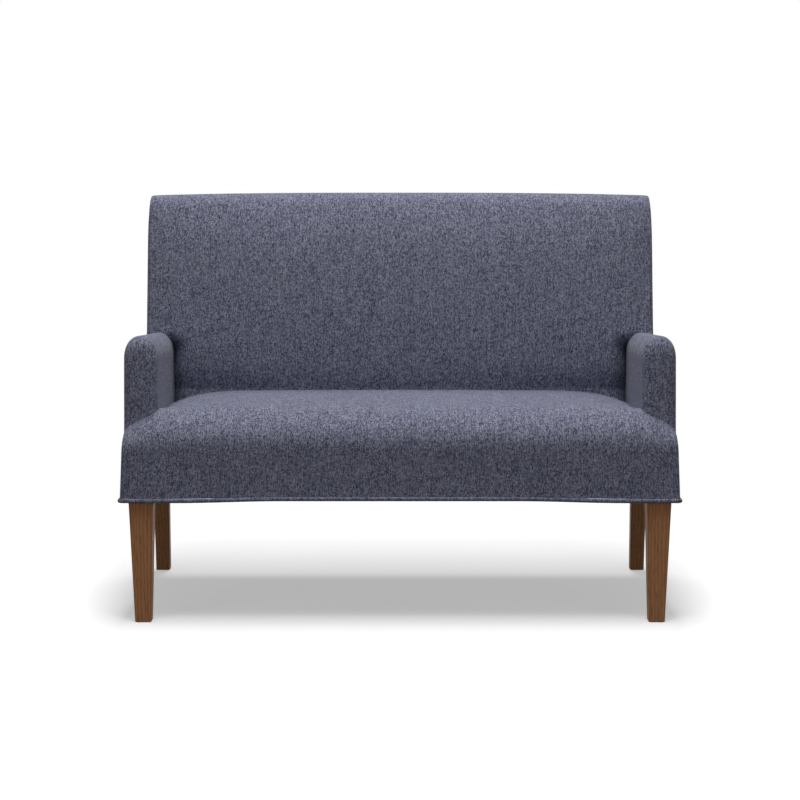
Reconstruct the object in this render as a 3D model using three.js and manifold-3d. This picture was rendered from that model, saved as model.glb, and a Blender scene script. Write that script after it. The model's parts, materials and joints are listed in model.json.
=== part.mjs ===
// High back settee: a hardwood frame on four tapered legs, with arched zigzag seat springs,
// foam padding and sewn fabric covers. Millimetres, +Z up, the front faces -Y and the origin
// lies on the floor under the middle of the plan. Depths are counted from the front backwards.
import * as THREE from 'three';
import { mergeVertices } from 'three/addons/utils/BufferGeometryUtils.js';
import Module from 'manifold-3d';

const wasm = await Module();
wasm.setup();

// Overall sizes
const overallWidth = 1329;
const overallDepth = 708;
const backHeight = 1012;
const seatHeight = 512;
const armHeight = 677.5;
const armFall = 21;
const legHeight = 289;
const baseDepth = 653;

// Clearances
const gap = 0.3;
const overrun = 40;

// Fabric, hem and the side planes of the upholstery
const fabric = 2;
const hemRadius = 5;
const hemCorner = 9;
const hemRise = 5.5;
const hemFlatHalf = 280;
const hemRiseRun = 245;
const sideFlare = 4;
const backSideInset = 3.3;

// Seat
const seatRollDepth = 115.5;
const seatRollHeight = 97.5;
const seatRollRise = 71;
const seatRollRun = 42;
const seatFrontSlope = 4;
const seatCrown = 5.5;
const seatTaper = 4.6;
const seatCornerRadius = 12;
const earRoll = 77.6;
const earFall = 30.3;
const earRound = 23;
const earSoftShare = 0.04;
const seatSideDrop = 31;
const seatSideRun = 250;
const seatBow = 3;
const sideDropBlend = 190;
const crownPeakShare = 0.6;

// Back
const backDepth = 191;
const backLean = 0.2;
const backCrown = 22;
const backEdgeRadius = 14;
const backTopRadius = 34;
const backRearRadius = 12;
const backTopThickness = 140;
const kneeDrop = 72;
const backCornerFall = 7;
const backTopDraw = 4.5;
const backDrawRun = 112;

// Arms
const armSetback = 72;
const armThickness = 80.6;
const armNarrowing = 8;
const armEdgeRadius = 22;
const armShoulder = 52;
const armRiseShare = 0.483;
const armCrossShare = 0.73;
const armNoseDepth = 38.5;
const armNoseHeight = 44;
const noseRiseShare = 0.66;
const noseRunShare = 0.73;

// Frame boards
const boardThickness = 22;
const sidePadding = 1.5;
const frontPadding = 10;
const seatPadding = 99;
const backPadding = 70;
const postFootDepth = 120;
const postTop = 985;
const backRailHeight = 60;
const tackRailHeight = 50;
const backTackRise = 30;
const uprightWidth = 50;
const braceShare = 0.6;
const blockLeg = 80;
const blockTip = 20;
const blockShare = 0.4;
const armPadding = 26;
const armRailWidth = 44;
const armPostDepth = 55;
const armPostSetback = 24;
const lapDepth = 11;
const lapShare = 0.8;
const armTackRise = 26;
const armPanelThickness = 3;
const armPanelBottom = 312;

// Springs, pad and webbing
const springCount = 8;
const springSpread = 1050;
const springBends = 17;
const springSwing = 25;
const springArch = 28;
const wireTailTurn = 0.7;
const wireRadius = 2;
const clipSheet = 1.5;
const clipWidth = 22;
const clipReach = 20;
const clipBite = 0.8;
const padThickness = 3;
const padHalf = 590;
const webCount = 6;
const webWidth = 50;
const webThickness = 1.5;
const webSpread = 1000;
const dustThickness = 1;
const dustMargin = 5.5;
const dustPlay = 1.2;

// Legs and their bolts
const legTop = 58;
const legFoot = 38;
const legInset = 20;
const legSetback = 13;
const legFootShift = 1;
const rearLegTop = 41;
const rearLegFoot = 36.5;
const rearLegInset = 5.5;
const rearLegSplay = 3;
const rearLegSetback = 8;
const legChamfer = 1.5;
const legCorner = 2.5;
const boltRadius = 4;
const boltPlay = 0.5;
const boltGrip = 45;
const nutHeight = 6;
const nutRadius = 7.5;

// Sizes worked out from those above
const hemHeight = legHeight + hemRadius;
const coverBottom = hemHeight + hemRadius + gap;
const sideHalf = overallWidth / 2 - hemRadius;
const bodyHalf = sideHalf - sideFlare;
const backHalf = bodyHalf - backSideInset;
const frameHalf = backHalf - backEdgeRadius - sidePadding;
const innerHalf = frameHalf - boardThickness;
const frontFace = hemRadius;
const frameFront = frontFace + frontPadding;
const baseRear = baseDepth - hemRadius;
const frameRear = baseRear - fabric - gap;
const railBottom = hemHeight + hemRadius;
const railTop = seatHeight - seatPadding;
const railHeight = railTop - railBottom;
const braceHeight = railHeight * braceShare;
const blockHeight = railHeight * blockShare;
const lapHeight = railHeight * lapShare;
const backKnee = seatHeight - kneeDrop;
const seatDepth = baseDepth - backDepth;
const rollTop = seatHeight - seatCrown;
const rollFoot = rollTop - seatRollHeight;
const rollFront = frontFace + seatFrontSlope;
const rollEnd = rollFront + seatRollDepth;
const crownSlope = (2 * seatCrown) / (crownPeakShare * (seatDepth - rollEnd));
const backTackHeight = backKnee + backTackRise;
const armTackHeight = backKnee + armTackRise;
const springSeat = railTop + clipSheet + wireRadius - clipBite;
const springFront = frameFront + boardThickness / 2;
const springRear = frameRear - boardThickness / 2;
const padOffset = wireRadius + clipSheet + gap + padThickness;
const deckPeak = springSeat + springArch + padOffset;
const backTuck = deckPeak + gap;
const armFront = armSetback;
const armOuter = bodyHalf;

// Plain formulas
const toY = (depth) => depth - overallDepth / 2;
const clamp = (value, low, high) => Math.min(Math.max(value, low), high);
const smooth = (value) => {
  const t = clamp(value, 0, 1);
  return t * t * (3 - 2 * t);
};
// How far a surface has drawn in, at a share k of the way round a rounding of this radius.
const roundOff = (radius, k) => radius * (1 - Math.sqrt(1 - clamp(k, 0, 1) ** 2));
// The rise of the hem towards the middle of the front.
const hemLift = (x) => hemRise * (1 - smooth((Math.abs(x) - hemFlatHalf) / hemRiseRun));
// The sides flare outwards evenly below the top of the arms.
const flareAt = (z) => sideFlare * Math.max(0, (armHeight - z) / (armHeight - coverBottom));
// The seat's ends lean inwards, and the back's sides draw in near its top as well as flaring.
const seatSpread = (z) => sideFlare - (seatTaper * (z - coverBottom)) / (rollFoot - coverBottom);
const backSpread = (z) => {
  const share = clamp((z - backHeight + backDrawRun) / backDrawRun, 0, 1);
  return flareAt(z) - backTopDraw * share ** 2;
};
// One coordinate of a cubic curve, at a share of the way along it.
const cubicAt = ([a, b, c, d], share) => {
  const rest = 1 - share;
  return a * rest ** 3 + 3 * b * share * rest ** 2 + 3 * c * share ** 2 * rest + d * share ** 3;
};
// Front and rear planes of the back.
const backFace = (z) => seatDepth + backLean * (z - seatHeight);
const backTopRear = backFace(backHeight) + backTopThickness;
const backRear = (z) => {
  const share = clamp((z - backKnee) / (backHeight - backKnee), 0, 1);
  return baseRear + (backTopRear - baseRear) * share;
};
const frameBackFace = (z) => backFace(Math.max(z, backKnee)) + backPadding;
const frameBackRear = (z) => backRear(z) - fabric - gap;
// The top line of the arm falls from its front to the back.
const armRidge = (depth) => armHeight - (armFall * (depth - armFront)) / (seatDepth - armFront);
const armInner = (depth) => {
  const share = (depth - armFront) / (seatDepth - armFront);
  return armOuter - armThickness + armNarrowing * share;
};
// Height of the spring wire's centre, arched between its two rails.
const wireHeight = (depth) => {
  const share = (depth - springFront) / (springRear - springFront);
  return springSeat + springArch * 4 * share * (1 - share);
};

// Closed bodies

// A skin over rings of points, with a flat cap on each end ring or joined end to end.
function loft(rings, closed = false, facesOf = capFaces) {
  const count = rings[0].length;
  const positions = rings.flat().flatMap((point) => [point.x, point.y, point.z]);
  const index = [];
  const spans = closed ? rings.length : rings.length - 1;
  for (let i = 0; i < spans; i++) {
    const next = (i + 1) % rings.length;
    for (let j = 0; j < count; j++) {
      const k = (j + 1) % count;
      const [a, b, c, d] = [i * count + j, i * count + k, next * count + k, next * count + j];
      index.push(a, b, c, a, c, d);
    }
  }
  if (!closed) {
    const last = (rings.length - 1) * count;
    for (const [a, b, c] of facesOf(rings[0])) {
      index.push(c, b, a);
    }
    for (const [a, b, c] of facesOf(rings[rings.length - 1])) {
      index.push(last + a, last + b, last + c);
    }
  }
  const geometry = new THREE.BufferGeometry();
  geometry.setAttribute('position', new THREE.Float32BufferAttribute(positions, 3));
  geometry.setIndex(index);
  return facingOut(geometry);
}

// Triangles over a ring, found in the plane that the ring fills best.
function capFaces(ring) {
  const box = new THREE.Box3().setFromPoints(ring);
  const size = box.getSize(new THREE.Vector3());
  const thin = Math.min(size.x, size.y, size.z);
  let flat = ring.map((point) => new THREE.Vector2(point.x, point.y));
  if (thin === size.x) {
    flat = ring.map((point) => new THREE.Vector2(point.y, point.z));
  } else if (thin === size.y) {
    flat = ring.map((point) => new THREE.Vector2(point.z, point.x));
  }
  const turned = THREE.ShapeUtils.isClockWise(flat);
  const faces = THREE.ShapeUtils.triangulateShape(flat, []);
  // The triangles follow the ring's own sense, whichever way it runs in the plane.
  return faces.map(([a, b, c]) => {
    const area = (flat[b].x - flat[a].x) * (flat[c].y - flat[a].y)
      - (flat[c].x - flat[a].x) * (flat[b].y - flat[a].y);
    return area < 0 === turned ? [a, b, c] : [c, b, a];
  });
}

// Triangles over a ring that runs up one side and down the other at the same heights.
function ladderFaces(ring) {
  const faces = [];
  for (let i = 0; i < ring.length / 2 - 1; i++) {
    const across = ring.length - 1 - i;
    faces.push([i, i + 1, across - 1], [i, across - 1, across]);
  }
  return faces;
}

function volumeOf(geometry) {
  const position = geometry.attributes.position;
  const index = geometry.index;
  const [a, b, c] = [new THREE.Vector3(), new THREE.Vector3(), new THREE.Vector3()];
  let volume = 0;
  for (let i = 0; i < index.count; i += 3) {
    a.fromBufferAttribute(position, index.getX(i));
    b.fromBufferAttribute(position, index.getX(i + 1));
    c.fromBufferAttribute(position, index.getX(i + 2));
    volume += a.dot(b.cross(c)) / 6;
  }
  return volume;
}

// Turns every triangle round where the faces point inwards.
function facingOut(geometry) {
  if (volumeOf(geometry) < 0) {
    const order = geometry.index.array;
    for (let i = 0; i < order.length; i += 3) {
      [order[i + 1], order[i + 2]] = [order[i + 2], order[i + 1]];
    }
  }
  return geometry;
}

function toSolid(geometry) {
  const bare = geometry.clone();
  bare.deleteAttribute('normal');
  bare.deleteAttribute('uv');
  const merged = mergeVertices(bare);
  return new wasm.Manifold(new wasm.Mesh({
    numProp: 3,
    vertProperties: merged.attributes.position.array,
    triVerts: new Uint32Array(merged.index.array),
  }));
}

function toGeometry(solid) {
  const mesh = solid.getMesh();
  const geometry = new THREE.BufferGeometry();
  geometry.setAttribute('position', new THREE.BufferAttribute(new Float32Array(mesh.vertProperties), 3));
  geometry.setIndex(new THREE.BufferAttribute(new Uint32Array(mesh.triVerts), 1));
  geometry.computeVertexNormals();
  return geometry;
}

// The first body less all the others.
function cut(body, ...tools) {
  return toGeometry(tools.reduce((solid, tool) => solid.subtract(toSolid(tool)), toSolid(body)));
}

function join(...bodies) {
  return toGeometry(bodies.map(toSolid).reduce((a, b) => a.add(b)));
}

// A box between two corners, each given as x, depth and height.
function boxBetween([x0, d0, z0], [x1, d1, z1]) {
  const box = new THREE.BoxGeometry(x1 - x0, d1 - d0, z1 - z0);
  return box.translate((x0 + x1) / 2, toY((d0 + d1) / 2), (z0 + z1) / 2);
}

// A side profile of [depth, height] points, drawn out from x0 to x1.
function sideProfile(points, x0, x1) {
  const shape = new THREE.Shape(points.map(([depth, z]) => new THREE.Vector2(toY(depth), z)));
  const plate = new THREE.ExtrudeGeometry(shape, { depth: x1 - x0, bevelEnabled: false });
  return plate.rotateX(Math.PI / 2).rotateZ(Math.PI / 2).translate(x0, 0, 0);
}

// A plan of [x, depth] points, drawn up from z0 to z1.
function planProfile(points, z0, z1) {
  const shape = new THREE.Shape(points.map(([x, depth]) => new THREE.Vector2(x, toY(depth))));
  return new THREE.ExtrudeGeometry(shape, { depth: z1 - z0, bevelEnabled: false }).translate(0, 0, z0);
}

// The same body on the other side of the middle plane.
function mirrored(geometry) {
  const copy = geometry.index ? geometry.clone() : mergeVertices(geometry.clone());
  copy.scale(-1, 1, 1);
  return facingOut(copy);
}

// Padded bodies. Each takes an inset, so that a cover, its foam and its clearance share one form.

// Widths at which a rounded end is cut, given the half width and the rounding.
function endStations(half, radius, innerShares) {
  const endShares = [1, 0.92, 0.7, 0.4, 0];
  const flatHalf = half - radius;
  const right = endShares.map((share) => flatHalf + radius * share);
  right.push(...innerShares.map((share) => flatHalf * share));
  const left = right.filter((x) => x > 0).map((x) => -x);
  return [...left, 0, ...right.filter((x) => x > 0).reverse()];
}

// The drop of the seat's top below its middle line: over the rounded ears in front of the arms,
// and drawn down along the arms behind them.
function seatDrop(x, depth) {
  const half = Math.abs(x);
  const round = clamp((half - bodyHalf + earRoll) / earRoll, 0, 1);
  const ear = earFall * (Math.hypot(round, earSoftShare) - earSoftShare) + roundOff(earRound, round);
  const inner = armInner(seatDepth);
  const along = clamp((half - inner + seatSideRun) / seatSideRun, 0, 1);
  const side = seatSideDrop * along ** 4 + seatBow * clamp(half / inner, 0, 1) ** 2;
  const blend = smooth((depth - armFront) / sideDropBlend);
  return ear + (side - ear) * blend;
}

function seatRing(x, inset, bottom) {
  const cornerShare = (Math.abs(x) - (bodyHalf - seatCornerRadius)) / seatCornerRadius;
  const front = frontFace + inset + roundOff(seatCornerRadius, cornerShare);
  const crest = front + seatFrontSlope;
  const faceShares = [0.35, 0.7];
  const rollShares = [0, 0.1, 0.22, 0.35, 0.5, 0.65, 0.82, 1];
  const crownShares = [0.1, 0.25, 0.45, 0.65, 0.85, 1.05, 1.3];
  const rollDepths = [crest, crest, rollEnd - seatRollRun, rollEnd];
  const rollHeights = [rollFoot, rollFoot + seatRollRise, rollTop - seatRollRun * crownSlope, rollTop];
  const faceAt = (z) => front + (seatFrontSlope * (z - coverBottom)) / (rollFoot - coverBottom);
  const points = [[faceAt(bottom), bottom]];
  for (const share of faceShares) {
    const z = coverBottom + (rollFoot - coverBottom) * share;
    points.push([faceAt(z), z]);
  }
  for (const share of rollShares) {
    const depth = cubicAt(rollDepths, share);
    const drawn = 1 - (inset + seatDrop(x, depth)) / seatRollHeight;
    points.push([depth, rollFoot + (cubicAt(rollHeights, share) - rollFoot) * drawn]);
  }
  for (const share of crownShares) {
    const depth = rollEnd + (seatDepth - rollEnd) * share;
    const crown = seatCrown * (1 - ((share - crownPeakShare) / crownPeakShare) ** 2);
    points.push([depth, rollTop + crown - inset - seatDrop(x, depth)]);
  }
  points.push([points[points.length - 1][0], bottom]);
  return points.map(([depth, z]) => {
    const spread = 1 + seatSpread(z) / bodyHalf;
    return new THREE.Vector3(x * spread, toY(depth), z);
  });
}

function seatWidths(inset) {
  const innerShares = [0.98, 0.955, 0.925, 0.895, 0.86, 0.8, 0.7, 0.55, 0.3];
  return endStations(bodyHalf - inset, seatCornerRadius, innerShares);
}

// The seat is full width in front of the arms and fills the room between them behind.
function seatBody(inset, bottomAt) {
  const body = loft(seatWidths(inset).map((x) => seatRing(x, inset, bottomAt(x))));
  const room = -gap - inset;
  const rightArm = join(armBody(room, -overrun), armSideRoom(room));
  return cut(body, rightArm, mirrored(rightArm), backBody(room, -overrun));
}

// Everything outside the middle of an arm, from its front back.
function armSideRoom(inset) {
  const low = [armOuter - armThickness / 2, armFront + inset, -overrun];
  return boxBetween(low, [armOuter + overrun, baseDepth + overrun, armHeight + overrun]);
}

function armRing([depth, nose], inset, bottom, bow) {
  const edge = roundOff(armEdgeRadius, (armFront + armEdgeRadius - depth) / armEdgeRadius);
  const top = armRidge(depth) - inset - nose;
  const shoulder = top - armShoulder;
  const outer = armOuter - inset - edge;
  const inner = armInner(depth) + inset + edge;
  const side = outer + flareAt(shoulder);
  const middle = (side + inner) / 2;
  const curveShares = [0, 0.2, 0.38, 0.55, 0.72, 0.87, 1];
  const heights = [shoulder, shoulder + armRiseShare * armShoulder, top, top];
  const curveFrom = (start) => {
    const widths = [start, start, middle + armCrossShare * (start - middle), middle];
    return curveShares.map((share) => [cubicAt(widths, share), cubicAt(heights, share)]);
  };
  const points = [[inner, bottom], [outer + flareAt(bottom), bottom], ...curveFrom(side)];
  points.push(...curveFrom(inner).reverse().slice(1));
  const front = depth - inset * bow;
  return points.map(([x, z]) => new THREE.Vector3(x, toY(front), z));
}

// A slab with a soft round top and nose, running back into the body of the back.
function armBody(inset, bottom) {
  const noseShares = [0, 0.15, 0.32, 0.5, 0.7, 0.85, 1];
  const noseDepths = [0, 0, armNoseDepth * (1 - noseRunShare), armNoseDepth];
  const noseDrops = [armNoseHeight, armNoseHeight * (1 - noseRiseShare), 0, 0];
  const rear = seatDepth + (armHeight - seatHeight) * backLean + overrun;
  const stations = noseShares.map((share) => {
    return [armFront + cubicAt(noseDepths, share), cubicAt(noseDrops, share)];
  });
  stations.push([(armFront + rear) / 2, 0], [rear, 0]);
  // The inset also moves the front face back.
  return loft(stations.map((at, i) => armRing(at, inset, bottom, i === stations.length - 1 ? 0 : -1)));
}

function backRing(x, inset, bottom) {
  const share = (Math.abs(x) - (backHalf - inset - backEdgeRadius)) / backEdgeRadius;
  const edge = roundOff(backEdgeRadius, share);
  const across = clamp(Math.abs(x) / backHalf, 0, 1);
  const bulge = backCrown * (1 - across ** 4);
  const top = backHeight - backCornerFall * across ** 3 - inset - edge / 2;
  const lowFace = (z) => backFace(z) + inset + edge;
  const upAt = (z) => clamp((z - seatHeight) / (backHeight - seatHeight), 0, 1);
  const faceAt = (z) => lowFace(z) - bulge * 4 * upAt(z) * (1 - upAt(z));
  const faceShares = [0, 0.12, 0.26, 0.4, 0.54, 0.68, 0.78, 0.87, 0.94, 1];
  const turnShares = [0.3, 0.55, 0.8, 1];
  const shoulder = top - backTopRadius;
  const levels = [bottom, backKnee, ...faceShares.map((up) => seatHeight + (shoulder - seatHeight) * up)];
  const points = levels.map((z) => [faceAt(z), z]);
  // The top rounds over from the face's own slope at the shoulder.
  const slope = backLean - (bulge * 4 * (1 - 2 * upAt(shoulder))) / (backHeight - seatHeight);
  const start = Math.atan(slope);
  const radius = backTopRadius / (1 - Math.sin(start));
  const centre = faceAt(shoulder) + radius * Math.cos(start);
  for (const turn of turnShares) {
    const angle = start + (Math.PI / 2 - start) * turn;
    points.push([centre - radius * Math.cos(angle), top - radius + radius * Math.sin(angle)]);
  }
  const rearAt = (z) => backRear(z) - inset - edge / 2 - Math.max(0, z - top + backRearRadius);
  const rear = points.map(([, z]) => [rearAt(z), z]).reverse();
  return [...points, ...rear].map(([depth, z]) => {
    const spread = 1 + backSpread(z) / backHalf;
    return new THREE.Vector3(x * spread, toY(depth), z);
  });
}

// The back leans, swells in the middle and reaches down to the hem at the sides and the rear.
function backBody(inset, bottom) {
  const innerShares = [0.93, 0.8, 0.6, 0.3];
  const widths = endStations(backHalf - inset, backEdgeRadius, innerShares);
  return loft(widths.map((x) => backRing(x, inset, bottom)), false, ladderFaces);
}

// Everything beside the back, from a little behind its front face.
function backSideRoom() {
  const front = (z) => backFace(z) + backEdgeRadius;
  const [low, high] = [-overrun, armHeight + overrun];
  const rear = baseDepth + overrun;
  const side = [[front(low), low], [rear, low], [rear, high], [front(high), high]];
  return sideProfile(side, backHalf - backEdgeRadius, armOuter + overrun);
}

// Room that the springs and the pad on them take, up to a clearance above the pad.
function deckRoom(clearance) {
  const archShares = [0, 0.125, 0.25, 0.375, 0.5, 0.625, 0.75, 0.875, 1];
  const front = frameFront - clearance;
  const rear = baseRear + overrun;
  const points = archShares.map((share) => {
    const depth = springFront + (springRear - springFront) * share;
    return [depth, wireHeight(depth) + padOffset + clearance];
  });
  points.unshift([front, springSeat + padOffset + clearance]);
  points.push([rear, springSeat + padOffset + clearance], [rear, -overrun], [front, -overrun]);
  return sideProfile(points.reverse(), -frameHalf - clearance, frameHalf + clearance);
}

// Room behind the back's padding, down to the floor.
function backFrameRoom(clearance) {
  const front = (z) => frameBackFace(z) - webThickness - clearance;
  const top = postTop + clearance;
  const rear = backTopRear + overrun;
  const points = [[front(-overrun), -overrun], [rear, -overrun], [rear, top], [front(top), top],
    [front(backKnee), backKnee]];
  return sideProfile(points, -frameHalf - clearance, frameHalf + clearance);
}

// Room under the back's padding, between its side strips.
function backLowRoom(clearance) {
  const front = backFace(coverBottom) - overrun * 2;
  const low = [-frameHalf - clearance, front, -overrun];
  return boxBetween(low, [frameHalf + clearance, baseRear + overrun, backTuck]);
}

// Covers and foam

function seatCover() {
  const skin = seatBody(0, (x) => coverBottom + hemLift(x));
  return cut(skin, seatBody(fabric, () => -overrun), deckRoom(gap));
}

function seatFoam() {
  const block = seatBody(fabric + gap, (x) => coverBottom + hemLift(x) + gap);
  return cut(block, deckRoom(gap));
}

function backCover() {
  const skin = backBody(0, coverBottom);
  return cut(skin, backBody(fabric, -overrun), rearPanel(gap), backLowRoom(gap), ...armRailRoom());
}

function backFoam() {
  const block = backBody(fabric + gap, coverBottom + gap);
  return cut(block, backFrameRoom(gap), backLowRoom(gap), ...armRailRoom());
}

// The flat fabric panel that closes the rear, with a clearance all round when it cuts.
function rearPanel(clearance) {
  const half = backHalf - backEdgeRadius + clearance;
  const top = backHeight - backCornerFall - backRearRadius - fabric + clearance;
  const bottom = coverBottom - clearance;
  const outer = (z) => backRear(z) + (clearance > 0 ? overrun : 0);
  const inner = (z) => backRear(z) - fabric - clearance;
  const points = [[inner(bottom), bottom], [outer(bottom), bottom], [outer(backKnee), backKnee],
    [outer(top), top], [inner(top), top], [inner(backKnee), backKnee]];
  return sideProfile(points, -half, half);
}

// Room of the arm's frame and outer panel inside its padding.
function armFrameRoom(clearance) {
  const outer = frameHalf + armPanelThickness + clearance;
  const inner = frameHalf - boardThickness - clearance;
  const front = armFront + armPostSetback - clearance;
  const rear = backFace(armHeight) + overrun * 2;
  const railTopAt = (depth) => armRidge(depth) - armPadding + clearance;
  const railLowAt = (depth) => railTopAt(depth) - boardThickness - clearance * 2;
  const wall = [[front, -overrun], [rear, -overrun], [rear, railTopAt(rear)], [front, railTopAt(front)]];
  const rail = [[front, railLowAt(front)], [rear, railLowAt(rear)], [rear, railTopAt(rear)],
    [front, railTopAt(front)]];
  const railInner = frameHalf - armRailWidth - clearance;
  return join(sideProfile(wall, inner, outer), sideProfile(rail, railInner, outer));
}

// Room under the inner side of an arm, where the seat and its springs are.
function armLowRoom(clearance) {
  const inner = armOuter - armThickness - overrun;
  const rear = backFace(armHeight) + overrun * 2;
  return boxBetween([inner, 0, -overrun], [frameHalf + clearance, rear, backTuck]);
}

function armCover() {
  return cut(armBody(0, coverBottom), armBody(fabric, -overrun), armLowRoom(gap));
}

function armFoam() {
  return cut(armBody(fabric + gap, coverBottom + gap), armFrameRoom(gap), armLowRoom(gap));
}

// Frame

// Rails share one section: a board on edge.
function railAcross(depth, z, height) {
  return boxBetween([-innerHalf, depth, z], [innerHalf, depth + boardThickness, z + height]);
}

function frontRail() {
  const low = [-frameHalf, frameFront, railBottom];
  return boxBetween(low, [frameHalf, frameFront + boardThickness, railTop]);
}

// The side rail is notched on its outside for the arm post, half and half.
function sideRail() {
  const front = frameFront + boardThickness;
  const rail = boxBetween([innerHalf, front, railBottom], [frameHalf, frameRear - postFootDepth, railTop]);
  const post = armFront + armPostSetback;
  const low = [frameHalf - lapDepth - gap, post - gap, railTop - lapHeight - gap];
  return cut(rail, boxBetween(low, [frameHalf + overrun, post + armPostDepth + gap, railTop + overrun]));
}

function armPost() {
  const front = armFront + armPostSetback;
  const rear = front + armPostDepth;
  const topAt = (depth) => armRidge(depth) - armPadding - boardThickness - gap;
  const side = [[front, railTop - lapHeight], [rear, railTop - lapHeight], [rear, topAt(rear)],
    [front, topAt(front)]];
  const post = sideProfile(side, innerHalf, frameHalf);
  const low = [innerHalf - overrun, front - overrun, railTop - lapHeight - overrun];
  return cut(post, boxBetween(low, [frameHalf - lapDepth, rear + overrun, railTop + gap]));
}

// A rail of the arm, sloping with its top line, from the arm's front back to a leaning end.
function armRail(topAt, front, endAt, x0, x1, clearance) {
  const low = (depth) => topAt(depth) - boardThickness - clearance;
  const high = (depth) => topAt(depth) + clearance;
  const end = (level) => endAt(level(endAt(level(front))));
  const side = [[front, low(front)], [end(low), low(end(low))], [end(high), high(end(high))],
    [front, high(front)]];
  return sideProfile(side, x0 - clearance, x1 + clearance);
}

// The top rail is wide inside the arm, and its outer half runs on to the post of the back.
function armTopRail(clearance) {
  const front = armFront + armPostSetback;
  const topAt = (depth) => armRidge(depth) - armPadding;
  const padEnd = (z) => backFace(z) - backCrown / 2 - gap;
  const postEnd = (z) => frameBackFace(z) - gap;
  const wide = armRail(topAt, front, padEnd, frameHalf - armRailWidth, frameHalf, clearance);
  return join(wide, armRail(topAt, front, postEnd, innerHalf, frameHalf, clearance));
}

function armTackRail(clearance) {
  const front = armFront + armPostSetback + armPostDepth + gap;
  const topAt = () => armTackHeight + boardThickness;
  return armRail(topAt, front, (z) => frameBackFace(z) - gap, innerHalf, frameHalf, clearance);
}

// Both rails of both arms, with room round them where they pass through the back's padding.
function armRailRoom() {
  const right = join(armTopRail(gap), armTackRail(gap));
  return [right, mirrored(right)];
}

// A thin board nailed over the outside of the arm's frame.
function armPanel() {
  const front = armFront + armPostSetback;
  const rearAt = (z) => backFace(Math.max(z, coverBottom)) - backCrown / 2 - gap;
  const topAt = (depth) => armRidge(depth) - armPadding;
  const rearTop = rearAt(armRidge(seatDepth) - armPadding);
  const side = [[front, armPanelBottom], [rearAt(armPanelBottom), armPanelBottom],
    [rearTop, topAt(rearTop)], [front, topAt(front)]];
  return sideProfile(side, frameHalf, frameHalf + armPanelThickness);
}

// The back post is sawn to a bend: upright beside the seat and leaning above it.
function backPost() {
  const front = frameRear - postFootDepth;
  const side = [[front, railBottom], [frameRear, railBottom], [frameBackRear(backKnee), backKnee],
    [frameBackRear(postTop), postTop], [frameBackFace(postTop), postTop],
    [frameBackFace(backKnee), backKnee], [front, backKnee - boardThickness]];
  return sideProfile(side, innerHalf, frameHalf);
}

function leaningRail(z, height) {
  const face = (at) => frameBackFace(at);
  const side = [[face(z), z], [face(z) + boardThickness, z],
    [face(z + height) + boardThickness, z + height], [face(z + height), z + height]];
  return sideProfile(side, -innerHalf, innerHalf);
}

function backUpright() {
  const low = backTackHeight + tackRailHeight;
  const high = postTop - backRailHeight;
  const side = [[frameBackFace(low), low], [frameBackFace(low) + boardThickness, low],
    [frameBackFace(high) + boardThickness, high], [frameBackFace(high), high]];
  return sideProfile(side, -uprightWidth / 2, uprightWidth / 2);
}

// The brace under the springs runs from the front rail to the rear rail.
function seatBrace() {
  const front = frameFront + boardThickness;
  const low = [-boardThickness / 2, front, railBottom];
  return boxBetween(low, [boardThickness / 2, frameRear - boardThickness, railBottom + braceHeight]);
}

// A corner block fills the inside of a frame corner, with its point cut off.
function cornerBlock(cornerDepth, towards) {
  const far = cornerDepth + towards * blockLeg;
  const plan = [[innerHalf, cornerDepth], [innerHalf, far], [innerHalf - blockTip, far],
    [innerHalf - blockLeg, cornerDepth + towards * blockTip], [innerHalf - blockLeg, cornerDepth]];
  return planProfile(plan, railBottom, railBottom + blockHeight);
}

// Legs

// A rounded rectangle of eight points at one height.
function legRing({ x0, x1, d0, d1 }, inset, z) {
  const corner = legCorner + inset;
  const [left, right] = [x0 + inset, x1 - inset];
  const [front, rear] = [d0 + inset, d1 - inset];
  const points = [[left + corner, front], [right - corner, front], [right, front + corner],
    [right, rear - corner], [right - corner, rear], [left + corner, rear], [left, rear - corner],
    [left, front + corner]];
  return points.map(([x, depth]) => new THREE.Vector3(x, toY(depth), z));
}

function leg(foot, head) {
  const height = railBottom;
  const at = (share) => ({
    x0: foot.x0 + (head.x0 - foot.x0) * share,
    x1: foot.x1 + (head.x1 - foot.x1) * share,
    d0: foot.d0 + (head.d0 - foot.d0) * share,
    d1: foot.d1 + (head.d1 - foot.d1) * share,
  });
  const edge = legChamfer / height;
  return loft([
    legRing(at(0), legChamfer, 0),
    legRing(at(edge), 0, legChamfer),
    legRing(at(1), 0, height),
  ]);
}

const frontHead = {
  x0: sideHalf - legInset - legTop,
  x1: sideHalf - legInset,
  d0: legSetback,
  d1: legSetback + legTop,
};
const frontMiddle = (frontHead.x0 + frontHead.x1) / 2 - legFootShift;
const frontFoot = {
  x0: frontMiddle - legFoot / 2,
  x1: frontMiddle + legFoot / 2,
  d0: (frontHead.d0 + frontHead.d1 - legFoot) / 2,
  d1: (frontHead.d0 + frontHead.d1 + legFoot) / 2,
};
const rearHead = {
  x0: sideHalf - rearLegInset - rearLegTop,
  x1: sideHalf - rearLegInset,
  d0: baseRear - rearLegSetback - rearLegTop,
  d1: baseRear - rearLegSetback,
};
const rearFoot = {
  x0: rearHead.x1 + rearLegSplay - rearLegFoot,
  x1: rearHead.x1 + rearLegSplay,
  d0: overallDepth - rearLegFoot,
  d1: overallDepth,
};

// A front bolt stands in the middle of its leg, as far as its nut has room beside the rails,
// and a rear one under the back post.
const frontBolt = [
  Math.min((frontHead.x0 + frontHead.x1) / 2, innerHalf - nutRadius - boltPlay),
  Math.max((frontHead.d0 + frontHead.d1) / 2, frameFront + boardThickness + nutRadius + boltPlay),
];
const rearBolt = [(innerHalf + frameHalf) / 2, (rearHead.d0 + rearHead.d1) / 2];

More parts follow.
